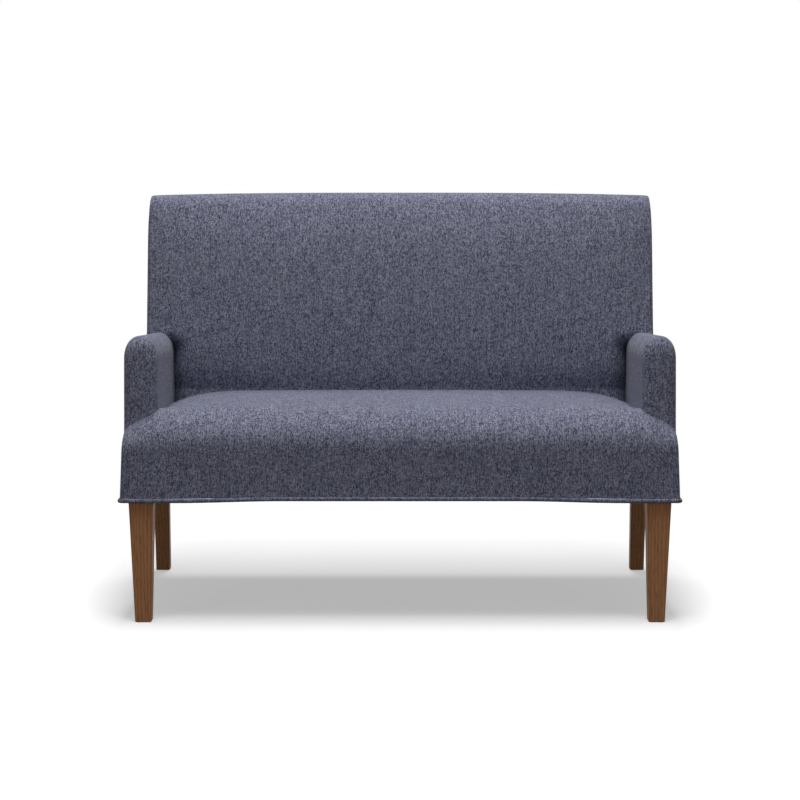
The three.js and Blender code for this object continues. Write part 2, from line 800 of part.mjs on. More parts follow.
function rod(radius, [x, depth], z0, z1, sides) {
  const cylinder = new THREE.CylinderGeometry(radius, radius, z1 - z0, sides);
  return cylinder.rotateX(Math.PI / 2).translate(x, toY(depth), (z0 + z1) / 2);
}

// A bore for the bolt, open at the end that it leaves by.
function boltBore(place, z0, z1) {
  return rod(boltRadius + boltPlay, place, z0, z1, 12);
}

function boltedLeg(foot, head, place) {
  return cut(leg(foot, head), boltBore(place, railBottom - boltGrip - boltPlay, railBottom + overrun));
}

function frontLegBolt() {
  const nutFoot = railBottom + blockHeight;
  const stud = rod(boltRadius, frontBolt, railBottom - boltGrip, nutFoot + nutHeight + boltRadius, 10);
  return join(stud, rod(nutRadius, frontBolt, nutFoot + gap, nutFoot + gap + nutHeight, 6));
}

function rearLegBolt() {
  return rod(boltRadius, rearBolt, railBottom - boltGrip, railBottom + boltGrip, 10);
}

// Springs

// The centre line of a zigzag spring: bars across the seat joined by round bends.
class ZigzagLine extends THREE.Curve {
  constructor(x) {
    super();
    this.x = x;
  }

  getPoint(t, target = new THREE.Vector3()) {
    const angle = -wireTailTurn + t * (springBends * Math.PI + 2 * wireTailTurn);
    const pitch = (springRear - springFront) / springBends;
    const depth = springFront + (pitch / Math.PI) * (angle - Math.sin(2 * angle) / 2);
    const side = this.x + springSwing * Math.sin(angle);
    return target.set(side, toY(depth), wireHeight(clamp(depth, springFront, springRear)));
  }
}

// A folded steel clip: a foot nailed to the rail and a lip that grips the wire.
function springClip(x, depth, towards) {
  const grip = wireRadius - clipBite;
  const low = railTop;
  const high = springSeat + grip + clipSheet;
  const lip = depth + towards * (grip + clipSheet);
  const tail = depth - towards * (clipReach / 2);
  const lipEnd = depth - towards * grip;
  const side = [[tail, low], [lip, low], [lip, high], [lipEnd, high],
    [lipEnd, high - clipSheet], [lip - towards * clipSheet, high - clipSheet],
    [lip - towards * clipSheet, low + clipSheet], [tail, low + clipSheet]];
  return sideProfile(towards > 0 ? side : side.reverse(), x - clipWidth / 2, x + clipWidth / 2);
}

function zigzagSpring(x) {
  const stepsPerBend = 4;
  const sides = 5;
  const section = new THREE.Shape();
  for (let i = 0; i < sides; i++) {
    const angle = (2 * Math.PI * i) / sides;
    const [u, v] = [wireRadius * Math.cos(angle), wireRadius * Math.sin(angle)];
    if (i === 0) section.moveTo(u, v);
    else section.lineTo(u, v);
  }
  const wire = new THREE.ExtrudeGeometry(section, {
    steps: stepsPerBend * (springBends + 1),
    extrudePath: new ZigzagLine(x),
    bevelEnabled: false,
  });
  return join(wire, springClip(x, springFront, -1), springClip(x, springRear, 1));
}

// The pad over the springs follows their arch.
function springPad() {
  const archShares = [0, 0.125, 0.25, 0.375, 0.5, 0.625, 0.75, 0.875, 1];
  const depths = archShares.map((share) => springFront + (springRear - springFront) * share);
  const low = depths.map((depth) => [depth, wireHeight(depth) + padOffset - padThickness]);
  const high = depths.map((depth) => [depth, wireHeight(depth) + padOffset]);
  return sideProfile([...low, ...high.reverse()], -padHalf, padHalf);
}

function backWeb(x) {
  const low = backTackHeight;
  const high = postTop;
  const side = [[frameBackFace(low) - webThickness, low], [frameBackFace(low), low],
    [frameBackFace(high), high], [frameBackFace(high) - webThickness, high]];
  return sideProfile(side, x - webWidth / 2, x + webWidth / 2);
}

// The hem: a covered cord along the lower edge all round, closed on itself.
function hemCord() {
  const sides = 8;
  const turnShares = [0, 0.25, 0.5, 0.75, 1];
  const half = sideHalf;
  const [front, rear] = [frontFace, baseRear];
  const straight = half - hemCorner;
  // Each corner is [centre x, centre depth, starting angle].
  const corners = [
    [-straight, front + hemCorner, Math.PI],
    [straight, front + hemCorner, Math.PI * 1.5],
    [straight, rear - hemCorner, 0],
    [-straight, rear - hemCorner, Math.PI / 2],
  ];
  const stations = [];
  corners.forEach(([x, depth, start], i) => {
    for (const share of turnShares) {
      const angle = start + (share * Math.PI) / 2;
      const out = [Math.cos(angle), Math.sin(angle)];
      stations.push({ x: x + hemCorner * out[0], depth: depth + hemCorner * out[1], out });
    }
    if (i === 0) {
      const widths = seatWidths(0).map((width) => (width * sideHalf) / bodyHalf);
      for (const along of widths.filter((width) => Math.abs(width) < straight)) {
        stations.push({ x: along, depth: front, out: [0, -1] });
      }
    }
  });
  const ring = ({ x, depth, out }) => {
    const lift = depth < front + hemCorner ? hemLift(x) : 0;
    return Array.from({ length: sides }, (_, j) => {
      const angle = (2 * Math.PI * j) / sides;
      const reach = hemRadius * Math.cos(angle);
      const z = hemHeight + lift + hemRadius * Math.sin(angle);
      return new THREE.Vector3(x + out[0] * reach, toY(depth + out[1] * reach), z);
    });
  };
  return loft(stations.map(ring), true);
}

// The dust cover under the frame, notched round the legs.
function dustCover() {
  const half = frameHalf - dustMargin;
  const [front, rear] = [frameFront + dustMargin, frameRear - dustMargin];
  const frontIn = frontHead.x0 - dustPlay;
  const frontBack = frontHead.d1 + dustPlay;
  const rearIn = rearHead.x0 - dustPlay;
  const rearFront = rearHead.d0 - dustPlay;
  const right = [[frontIn, front], [frontIn, frontBack], [half, frontBack], [half, rearFront],
    [rearIn, rearFront], [rearIn, rear]];
  const left = right.map(([x, depth]) => [-x, depth]).reverse();
  return planProfile([...right, ...left], railBottom - dustThickness, railBottom);
}

// Colours and finish
const FABRIC = { color: 0x6b6d80, roughness: 0.95, metalness: 0 };
const FOAM = { color: 0xe6dcbf, roughness: 1, metalness: 0 };
const HARDWOOD = { color: 0xc2a77c, roughness: 0.8, metalness: 0 };
const LEG_WOOD = { color: 0x6b4a32, roughness: 0.45, metalness: 0 };
const STEEL = { color: 0x8d9094, roughness: 0.4, metalness: 0.9 };
const FELT = { color: 0x3c3d42, roughness: 1, metalness: 0 };
const WEBBING = { color: 0x2c2c30, roughness: 0.9, metalness: 0 };
const BOARD = { color: 0x8f7452, roughness: 0.9, metalness: 0 };

const settee = new THREE.Group();

function add(name, geometry, finish) {
  const mesh = new THREE.Mesh(geometry, new THREE.MeshStandardMaterial(finish));
  mesh.name = name;
  settee.add(mesh);
}

function addPair(name, geometry, finish) {
  add(`${name}_right`, geometry, finish);
  add(`${name}_left`, mirrored(geometry), finish);
}

// The padding of an arm ends against the back, a small gap before it, and at its edge.
function addArmPair(name, geometry, finish) {
  const back = backBody(-gap, -overrun);
  const side = backSideRoom();
  add(`${name}_right`, cut(geometry, back, side), finish);
  add(`${name}_left`, cut(mirrored(geometry), back, mirrored(side)), finish);
}

// The seat frame
add('front_rail', frontRail(), HARDWOOD);
add('rear_rail', railAcross(frameRear - boardThickness, railBottom, railHeight), HARDWOOD);
addPair('side_rail', sideRail(), HARDWOOD);
add('seat_brace', seatBrace(), HARDWOOD);
const frontBlock = cornerBlock(frameFront + boardThickness, 1);
const blockBore = boltBore(frontBolt, railBottom - overrun, railBottom + blockHeight + overrun);
addPair('corner_block_front', cut(frontBlock, blockBore), HARDWOOD);
addPair('corner_block_rear', cornerBlock(frameRear - boardThickness, -1), HARDWOOD);

// The back frame
const postBore = boltBore(rearBolt, railBottom - overrun, railBottom + boltGrip + boltPlay);
addPair('back_post', cut(backPost(), postBore), HARDWOOD);
add('back_top_rail', leaningRail(postTop - backRailHeight, backRailHeight), HARDWOOD);
add('back_tack_rail', leaningRail(backTackHeight, tackRailHeight), HARDWOOD);
add('back_upright', backUpright(), HARDWOOD);

// The arm frames
addPair('arm_post', armPost(), HARDWOOD);
addPair('arm_top_rail', armTopRail(0), HARDWOOD);
addPair('arm_tack_rail', armTackRail(0), HARDWOOD);
addPair('arm_panel', armPanel(), BOARD);

// The legs
addPair('leg_front', boltedLeg(frontFoot, frontHead, frontBolt), LEG_WOOD);
addPair('leg_rear', boltedLeg(rearFoot, rearHead, rearBolt), LEG_WOOD);
addPair('leg_bolt_front', frontLegBolt(), STEEL);
addPair('leg_bolt_rear', rearLegBolt(), STEEL);

// Springs and supports
for (let i = 0; i < springCount; i++) {
  const x = springSpread * (i / (springCount - 1) - 0.5);
  add(`seat_spring_${i + 1}`, zigzagSpring(x), STEEL);
}
add('spring_pad', springPad(), FELT);
for (let i = 0; i < webCount; i++) {
  const x = webSpread * (i / (webCount - 1) - 0.5);
  add(`back_web_${i + 1}`, backWeb(x), WEBBING);
}

// Padding and covers
add('seat_foam', seatFoam(), FOAM);
add('seat_cover', seatCover(), FABRIC);
add('back_foam', backFoam(), FOAM);
add('back_cover', backCover(), FABRIC);
add('back_rear_panel', rearPanel(0), FABRIC);
addArmPair('arm_foam', armFoam(), FOAM);
addArmPair('arm_cover', armCover(), FABRIC);
add('hem_cord', hemCord(), FABRIC);
add('dust_cover', dustCover(), FELT);

export default settee;
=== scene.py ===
import json
import math

import bmesh
import bpy
import numpy as np
from bpy.props import FloatProperty, FloatVectorProperty, IntProperty, PointerProperty
from bpy.types import Operator, Panel, PropertyGroup
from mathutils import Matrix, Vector


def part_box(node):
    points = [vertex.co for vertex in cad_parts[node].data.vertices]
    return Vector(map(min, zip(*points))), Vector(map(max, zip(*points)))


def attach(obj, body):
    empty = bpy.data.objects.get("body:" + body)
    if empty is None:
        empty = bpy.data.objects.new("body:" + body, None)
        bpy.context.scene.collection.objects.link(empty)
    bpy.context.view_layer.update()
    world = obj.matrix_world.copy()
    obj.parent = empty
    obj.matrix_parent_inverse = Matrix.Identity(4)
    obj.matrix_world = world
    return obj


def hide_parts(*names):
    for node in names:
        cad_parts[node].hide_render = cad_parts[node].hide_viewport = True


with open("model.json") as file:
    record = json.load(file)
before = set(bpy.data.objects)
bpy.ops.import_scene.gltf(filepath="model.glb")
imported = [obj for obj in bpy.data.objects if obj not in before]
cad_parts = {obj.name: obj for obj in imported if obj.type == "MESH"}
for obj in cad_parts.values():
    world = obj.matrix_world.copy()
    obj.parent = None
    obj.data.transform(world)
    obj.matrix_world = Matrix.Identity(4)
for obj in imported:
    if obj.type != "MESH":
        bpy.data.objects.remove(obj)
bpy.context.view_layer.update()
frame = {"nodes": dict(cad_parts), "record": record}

bl_info = {
    "name": "High Back Settee",
    "version": (1, 0, 0),
    "blender": (4, 5, 0),
    "location": "3D View > Sidebar > Settee",
    "description": "Upholsters a high back settee round its packed frame and stands it in a studio",
    "category": "Object",
}

# The CAD model's own box, before anything is added.
HEM_LOW, HEM_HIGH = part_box("hem_cord")
SEAT_LOW, SEAT_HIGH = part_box("seat_cover")
RAIL_LOW, RAIL_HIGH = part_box("front_rail")
PAD_LOW, PAD_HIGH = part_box("spring_pad")
DUST_LOW, DUST_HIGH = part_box("dust_cover")
BACK_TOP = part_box("back_cover")[1].z
POST_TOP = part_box("back_post_right")[1].z

# Depths run back from the front of the hem, so that a profile reads from front to rear.
FRONT_PLANE = HEM_LOW.y
QUARTER = math.pi / 2
SIDES = (("right", 1), ("left", -1))

# Numbers of points along the stretches of each profile.
CORNER_POINTS = 18
SEAT_FACE_POINTS, SEAT_ROLL_POINTS, SEAT_TOP_POINTS = 36, 56, 70
ARM_NOSE_POINTS, ARM_SIDE_POINTS, ARM_SHOULDER_POINTS = 40, 50, 26
BACK_FACE_POINTS, BACK_EDGE_POINTS, BACK_REAR_EDGE_POINTS, BACK_TOP_POINTS = 100, 28, 14, 15
HEM_CORNER_POINTS, HEM_ROUND_POINTS = 12, 24
# Points along the front, the right side, the rear and the left side of the hem.
HEM_RUN_POINTS = (240, 90, 160, 90)
DECK_POINTS = 25
# Points across and along the sheets, and the dust cloth's steps between its notches.
PANEL_POINTS = (120, 90)
FELT_POINTS = (100, 60)
DUST_STEPS_ACROSS = (5, 8, 60, 60, 8, 5)
DUST_STEPS_ALONG = (14, 60, 10)

# Where the seat's swell is highest, as a share of the depth behind its roll.
CROWN_PEAK_SHARE = 0.6
# How far the seat's top runs on under the back before it is cut, as a share of that depth.
SEAT_REACH = 1.3
# How far the back's top line dips at its ends, as a share of how far its side edges are rounded.
END_DIP = 0.15
# Where the back's top stops on its way from the rear, short of the point that its face ends in.
TOP_STOP = 0.96
# How far a face of an arm has to turn to the front to take the front's map, as a cosine.
NOSE_TURN = 0.6
# An edge that turns by more than this is shaded sharp.
CREASE_ANGLE = math.radians(50)
# Share of a padded piece that is filled.
PADDING_FILL = 0.95

# The camera's sensor in millimetres, and how far it sees.
SENSOR = 36
SIGHT = 200
# Half the floor, and where each lamp stands, how large it is and what it faces.
FLOOR_HALF = 30.0
LAMP_AIM = Vector((0, 0, 0.5))
OVERHEAD_DEPTH, OVERHEAD_SIZE = -0.2, (1.6, 5.2)
FRONT_PLACE, FRONT_SIZE = Vector((0, -3, 6.5)), (3, 2)
SIDE_PLACE, SIDE_SIZE = Vector((3.4, -4.4, 1.5)), (2, 2)

# Kinds of socket of a node group.
COLOUR_SOCKET, NUMBER_SOCKET, VECTOR_SOCKET = "NodeSocketColor", "NodeSocketFloat", "NodeSocketVector"


# Settings


def length(name, description, default):
    """A length that a user can set, in metres."""
    return FloatProperty(name=name, description=description, default=default, unit="LENGTH")


def number(name, description, default):
    """A number without a unit that a user can set."""
    return FloatProperty(name=name, description=description, default=default)


def whole(name, description, default):
    """A count that a user can set."""
    return IntProperty(name=name, description=description, default=default)


def colour(name, description, default):
    """A colour that a user can set."""
    return FloatVectorProperty(name=name, description=description, default=default, subtype="COLOR")


class SetteeForm(PropertyGroup):
    """Sizes of the upholstery that the frame's boxes don't give."""

    gap: length("Gap", "Clearance between pieces", 0.0003)
    overrun: length("Overrun", "How far a cut runs past a piece", 0.04)
    fabric: length("Fabric", "Thickness of the cover cloth", 0.002)
    hem_radius: length("Hem cord radius", "Half the thickness of the hem's cord", 0.005)
    hem_corner: length("Hem corner", "Radius of the hem's corners in plan", 0.009)
    hem_rise: length("Hem rise", "How far the hem rises in the middle of the front", 0.0046)
    hem_flat_half: length("Hem flat half", "Half the raised stretch of the hem", 0.28)
    hem_rise_run: length("Hem rise run", "Run over which the hem rises", 0.245)
    side_flare: length("Side flare", "How far the sides stand out at the hem", 0.004)
    back_inset: length("Back inset", "How far the back's sides stand inside the arms'", 0.0033)
    knee: length("Knee", "Height at which the back's rear starts to lean", 0.44)
    seat_height: length("Seat height", "Top of the seat's crown", 0.512)
    seat_crown: length("Seat crown", "Rise of the seat's middle above its front roll", 0.0055)
    seat_depth: length("Seat depth", "Depth of the back's face at seat height", 0.462)
    roll_depth: length("Roll depth", "Depth of the rounding of the seat's front edge", 0.1155)
    roll_height: length("Roll height", "Height of the rounding of the front edge", 0.0975)
    roll_rise: length("Roll rise", "Upright handle of the front roll's curve", 0.071)
    roll_run: length("Roll run", "Level handle of the front roll's curve", 0.042)
    front_slope: length("Front slope", "How far the front face leans back", 0.004)
    seat_taper: length("Seat taper", "How much the seat's ends lean in up to the roll", 0.0046)
    seat_corner: length("Seat corner", "Radius of the seat's upright corners", 0.012)
    ear_roll: length("Ear roll", "Width of the rounding of each ear", 0.0776)
    ear_fall: length("Ear fall", "Even part of the fall of each ear", 0.0303)
    ear_round: length("Ear rounding", "Rounded part of the fall of each ear", 0.019)
    ear_soft: number("Ear softness", "Share of the ear over which its fall starts", 0.04)
    side_drop: length("Side drop", "How far the seat is drawn down along an arm", 0.031)
    side_run: length("Side run", "Width over which the seat is drawn down", 0.25)
    seat_bow: length("Seat bow", "Slow fall of the seat from its middle to the arms", 0.003)
    drop_blend: length("Drop blend", "Depth over which the ear passes into the drop", 0.19)
    back_lean: number("Back lean", "Rearward run of the back's face per unit of height", 0.2)
    back_crown: length("Back crown", "Swell of the back's middle", 0.03)
    back_edge: length("Back edge", "Radius of the back's side edges", 0.014)
    back_top: length("Back top edge", "Radius of the back's top front edge", 0.034)
    back_rear_edge: length("Back rear edge", "Radius of the back's top rear edge", 0.012)
    back_thickness: length("Back thickness", "Thickness of the back at its top", 0.14)
    back_corner_fall: length("Back corner fall", "Fall of the top line at the corners", 0.007)
    back_draw: length("Back draw", "How far the back's sides draw in at its top", 0.0038)
    back_draw_run: length("Back draw run", "Height over which the sides draw in", 0.112)
    back_soft: length("Back softness", "How far the top of the back's face rolls away", 0.02)
    back_soft_run: length("Back soft run", "Height over which the face rolls away", 0.15)
    back_tuck: length("Back tuck", "Depth of the crease between the back and an arm", 0.05)
    back_tuck_run: length("Back tuck run", "Width over which the back draws into the crease", 0.075)
    back_tuck_out: length("Back tuck end", "Width over which the crease runs out under the arm", 0.045)
    back_tuck_fade: length("Back tuck fade", "Height over which the crease runs out", 0.05)
    back_foot: length("Back foot", "How far the face draws in behind the seat", 0.008)
    back_foot_run: length("Back foot run", "Height over which the face draws in", 0.07)
    back_padding: length("Back padding", "Padding in front of the back's frame", 0.07)
    web: length("Web", "Thickness of the back's webbing", 0.0015)
    arm_height: length("Arm height", "Height of the arm's top line at its front", 0.6775)
    arm_fall: length("Arm fall", "Fall of the arm's top line to the back", 0.021)
    arm_setback: length("Arm setback", "Depth of the arm's front", 0.072)
    arm_thickness: length("Arm thickness", "Width of the arm at its front", 0.0806)
    arm_narrowing: length("Arm narrowing", "How much narrower the arm is at the back", 0.008)
    arm_edge: length("Arm edge", "Radius of the arm's upright front edges", 0.026)
    arm_shoulder: length("Arm shoulder", "Height of the arm's rounded top", 0.052)
    arm_rise: number("Arm rise", "Upright handle of the top's curve, as a share", 0.483)
    arm_cross: number("Arm cross", "Level handle of the top's curve, as a share", 0.73)
    nose_depth: length("Nose depth", "Depth of the rounding of the arm's front", 0.0385)
    nose_height: length("Nose height", "Height of the rounding of the arm's front", 0.044)
    nose_rise: number("Nose rise", "Upright handle of the nose's curve, as a share", 0.66)
    nose_run: number("Nose run", "Level handle of the nose's curve, as a share", 0.73)
    arm_lean: length("Arm lean", "How far the top of the arm's front leans back", 0.007)
    arm_lean_rise: length("Arm lean rise", "Height over which the front leans back", 0.18)
    arm_lean_run: length("Arm lean run", "Depth over which the lean runs out", 0.12)
    arm_padding: length("Arm padding", "Padding over the arm's top rail", 0.026)
    panel: length("Arm panel", "Thickness of the board outside the arm", 0.003)
    pad: length("Spring pad", "Thickness of the felt over the springs", 0.003)
    dust_play: length("Dust cloth play", "Room between the dust cloth and a leg", 0.0012)
    dust_sag: length("Dust cloth sag", "How far the dust cloth sags in each half", 0.0025)
    seat_columns: whole("Seat columns", "Sections across the seat", 230)
    back_columns: whole("Back columns", "Sections across the back", 260)
    arm_columns: whole("Arm columns", "Sections along an arm", 110)


class SetteeFinish(PropertyGroup):
    """Colours and scales of the finishes."""

    cloth: colour("Cloth", "Mean colour of the cover cloth", (0.165, 0.174, 0.25))
    cloth_light: colour("Light yarn", "Colour of the light yarns", (0.385, 0.4, 0.52))
    cloth_dark: colour("Dark yarn", "Colour of the dark yarns", (0.038, 0.042, 0.082))
    cloth_warm: colour("Warm yarn", "Colour of the few warm yarns", (0.23, 0.19, 0.22))
    yarn: length("Yarn", "Width of a yarn of the cover cloth", 0.0012)
    fleck: length("Fleck", "Length of a fleck along its yarn", 0.0052)
    leg: colour("Leg wood", "Colour of the stained legs", (0.6, 0.285, 0.13))
    leg_dark: colour("Leg grain", "Colour of the legs' grain", (0.46, 0.208, 0.09))
    board: colour("Frame wood", "Colour of the frame's boards", (0.54, 0.39, 0.2))
    board_dark: colour("Frame grain", "Colour of the boards' grain", (0.36, 0.23, 0.1))


class SetteeStudio(PropertyGroup):
    """Camera and lamps."""

    lens: number("Lens", "Focal length in millimetres on a 36 mm sensor", 90)
    distance: length("Distance", "Camera to the front of the hem", 4.639)
    height: length("Height", "Height of the camera", 1.032)
    tilt: FloatProperty(name="Tilt", description="How far the camera looks down",
                        default=math.radians(6.135), unit="ROTATION")
    overhead: number("Overhead lamp", "Power of the long lamp overhead", 260)
    overhead_height: length("Overhead height", "Height of the lamp overhead", 6)
    front: number("Front lamp", "Power of the high lamp in front", 46)
    side: number("Side lamps", "Power of each low lamp at the sides", 15)
    ambient: number("Ambient", "Light from all round", 0.1)
    floor_colour: number("Floor", "Lightness of the seen floor", 0.92)
    floor_bounce: number("Floor bounce", "Lightness of the floor to the object", 0.1)
    floor_lift: number("Floor lift", "What the seen floor adds to its own light", 0.4)
    floor_near: length("Floor near", "Where the floor starts to fade to white", 1.0)
    floor_far: length("Floor far", "Where the floor is white", 2.0)


# Formulas of the form. They take arrays and are worked out for whole grids at once.


def smooth(value):
    """A step from 0 to 1 with level ends: 3t^2 - 2t^3."""
    t = np.clip(value, 0, 1)
    return t * t * (3 - 2 * t)


def round_off(radius, share):
    """How far a surface has drawn in at a share of the way round a rounding: a quarter circle."""
    return radius * (1 - np.sqrt(1 - np.clip(share, 0, 1) ** 2))


def cubic(first, second, third, last, share):
    """One coordinate of a cubic curve from its end points and handles, at shares of the way along it."""
    rest = 1 - share
    handles = 3 * second * share * rest ** 2 + 3 * third * share ** 2 * rest
    return first * rest ** 3 + handles + last * share ** 3


def place(x, depth, z):
    """Points from widths, depths and heights, stacked on the last axis."""
    x, depth, z = np.broadcast_arrays(x, depth, z)
    return np.stack([x, depth + FRONT_PLANE, z], -1)


class Lines:
    """The lines that a cover, its foam and the rooms inside it share, worked out from the form's sizes."""

    def __init__(self, form):
        self.form = form
        self.bottom = SEAT_LOW.z
        self.side_half = SEAT_HIGH.x
        self.body_half = self.side_half - form.side_flare
        self.back_half = self.body_half - form.back_inset
        self.top = BACK_TOP
        self.base_rear = HEM_HIGH.y - FRONT_PLANE - form.hem_radius
        self.front_face = form.hem_radius
        self.roll_top = form.seat_height - form.seat_crown
        self.roll_foot = self.roll_top - form.roll_height
        self.roll_end = self.front_face + form.front_slope + form.roll_depth
        self.frame_half = RAIL_HIGH.x
        self.room_half = self.frame_half + form.gap
        self.back_top_rear = self.back_face(self.top) + form.back_thickness

    def flare(self, z):
        """The sides run out evenly below the top of the arms."""
        form = self.form
        return form.side_flare * np.maximum(0, (form.arm_height - z) / (form.arm_height - self.bottom))

    def seat_spread(self, z):
        """The seat's ends lean in evenly from the hem up."""
        form = self.form
        return form.side_flare - form.seat_taper * (z - self.bottom) / (self.roll_foot - self.bottom)

    def back_spread(self, z):
        """The back's sides flare as the arms do, draw in with the square of the height near its top, and
        come out level with the arms at the hem."""
        form = self.form
        share = np.clip((z - self.top + form.back_draw_run) / form.back_draw_run, 0, 1)
        foot = form.back_inset * (1 - smooth((z - self.bottom) / form.back_foot_run))
        return self.flare(z) - form.back_draw * share ** 2 + foot

    def hem_lift(self, x):
        """The hem rises smoothly towards the middle of the front."""
        form = self.form
        return form.hem_rise * (1 - smooth((np.abs(x) - form.hem_flat_half) / form.hem_rise_run))

    def back_face(self, z):
        """Depth of the back's face, which leans evenly."""
        return self.form.seat_depth + self.form.back_lean * (z - self.form.seat_height)

    def back_rear(self, z):
        """Depth of the back's rear: upright up to the knee, and an even lean from there to the top."""
        share = np.clip((z - self.form.knee) / (self.top - self.form.knee), 0, 1)
        return self.base_rear + (self.back_top_rear - self.base_rear) * share

    def frame_face(self, z):
        """Front of the back's frame, behind its padding."""
        return self.back_face(np.maximum(z, self.form.knee)) + self.form.back_padding

    def arm_share(self, depth):
        """How far along an arm a depth is, from its front to the back's face."""
        return (depth - self.form.arm_setback) / (self.form.seat_depth - self.form.arm_setback)

    def arm_ridge(self, depth):
        """Height of an arm's top line, which falls evenly to the back."""
        return self.form.arm_height - self.form.arm_fall * self.arm_share(depth)

    def arm_inner(self, depth):
        """Distance of an arm's inner side from the middle, which grows evenly to the back."""
        return self.body_half - self.form.arm_thickness + self.form.arm_narrowing * self.arm_share(depth)

    def seat_drop(self, x, depth):
        """Drop of the seat's top: over each ear an even fall with a soft start and a quarter ellipse,
        and behind it a fourth-power fall along the arm on a slow bow, with a smooth step between."""
        form = self.form
        half = np.abs(x)
        share = np.clip((half - self.body_half + form.ear_roll) / form.ear_roll, 0, 1)
        ear = form.ear_fall * (np.hypot(share, form.ear_soft) - form.ear_soft)
        ear = ear + round_off(form.ear_round, share)
        inner = self.arm_inner(form.seat_depth)
        along = np.clip((half - inner + form.side_run) / form.side_run, 0, 1)
        side = form.side_drop * along ** 4 + form.seat_bow * np.clip(half / inner, 0, 1) ** 2
        return ear + (side - ear) * smooth((depth - form.arm_setback) / form.drop_blend)

    def crown(self, share):
        """The seat's swell at a share of the way back behind its roll: a parabola."""
        return self.form.seat_crown * (1 - ((share - CROWN_PEAK_SHARE) / CROWN_PEAK_SHARE) ** 2)

    def crown_slope(self):
        """Slope of the swell where it leaves the roll."""
        return 2 * self.form.seat_crown / (CROWN_PEAK_SHARE * (self.form.seat_depth - self.roll_end))


# Mesh building


def link(name, mesh):
    """A new object in the scene, at the origin."""
    piece = bpy.data.objects.new(name, mesh)
    bpy.context.scene.collection.objects.link(piece)
    return piece


def enclosed(vertices, quads):
    """Signed volume inside closed quads: the sum of the tetrahedra from the origin to each half quad."""
    a, b, c, d = (vertices[quads[:, k]] for k in range(4))
    first = np.einsum("ij,ij->i", a, np.cross(b, c)).sum()
    second = np.einsum("ij,ij->i", a, np.cross(c, d)).sum()
    return (first + second) / 6


def mesh_of(name, vertices, quads, uv):
    """A mesh with its faces turned outwards. uv holds a pair for each corner of each quad."""
    if enclosed(vertices, quads) < 0:
        quads = quads[:, ::-1]
        uv = uv[:, ::-1]
    mesh = bpy.data.meshes.new(name)
    mesh.from_pydata(vertices.tolist(), [], quads.tolist())
    layer = mesh.uv_layers.new(name="Cloth")
    layer.uv.foreach_set("vector", uv.reshape(-1).astype(np.float32))
    mesh.shade_smooth()
    mesh.update()
    return mesh


def strip(nearer, further):
    """Quads between rings of point numbers and the rings that follow them."""
    quads = [nearer, np.roll(nearer, -1, 1), np.roll(further, -1, 1), further]
    return np.stack(quads, -1).reshape(-1, 4)


def body(name, rings, across, cap_axes, nose=False):
    """A closed body from rings of points, one ring for each section. Point k of a ring faces point
    -1 - k, so a flat end is a ladder of quads. The cloth's map is the place across by the length
    round the ring, counted from the middle of the ring's first half, and on an end the two axes given.
    With a nose, what faces the front is mapped as the ends are."""
    sections, size = rings.shape[:2]
    index = np.arange(sections * size).reshape(sections, size)
    quads = strip(index[:-1], index[1:])
    steps = np.linalg.norm(np.diff(rings, axis=1), axis=2)
    along = np.concatenate([np.zeros((sections, 1)), np.cumsum(steps, axis=1)], 1)
    along -= along[:, size // 4][:, None]
    flat = np.stack([np.broadcast_to(across[:, None], along.shape), along], -1).reshape(-1, 2)
    vertices = rings.reshape(-1, 3)
    step = np.arange(size // 2 - 1)
    ladder = np.stack([step, step + 1, size - 2 - step, size - 1 - step], -1)
    ends = np.concatenate([ladder[:, ::-1], ladder + (sections - 1) * size])
    flat = flat[quads]
    if nose:
        corners = vertices[quads]
        normal = np.cross(corners[:, 2] - corners[:, 0], corners[:, 3] - corners[:, 1])
        ahead = np.abs(normal[:, 1]) > NOSE_TURN * np.linalg.norm(normal, axis=1)
        flat[ahead] = corners[ahead][:, :, cap_axes]
    uv = np.concatenate([flat, vertices[ends][:, :, cap_axes]])
    return link(name, mesh_of(name, vertices, np.concatenate([quads, ends]), uv))


def prism(name, profile, low, high):
    """A block with a side profile of depths and heights, drawn across from one width to another."""
    depth, z = np.array(profile, float).T
    ends = [place(x, depth, z) for x in (low, high)]
    count = len(profile)
    mesh = bpy.data.meshes.new(name)
    sides = [[k, (k + 1) % count, (k + 1) % count + count, k + count] for k in range(count)]
    faces = [list(range(count))[::-1], list(range(count, 2 * count)), *sides]
    turn = np.sum(depth * np.roll(z, -1) - z * np.roll(depth, -1))
    if turn < 0:
        faces = [face[::-1] for face in faces]
    mesh.from_pydata(np.concatenate(ends).tolist(), [], faces)
    return link(name, mesh)


def box_room(name, low, high):
    """A block between two corners, each a width, a depth and a height."""
    profile = [(low[1], low[2]), (high[1], low[2]), (high[1], high[2]), (low[1], high[2])]
    return prism(name, profile, low[0], high[0])


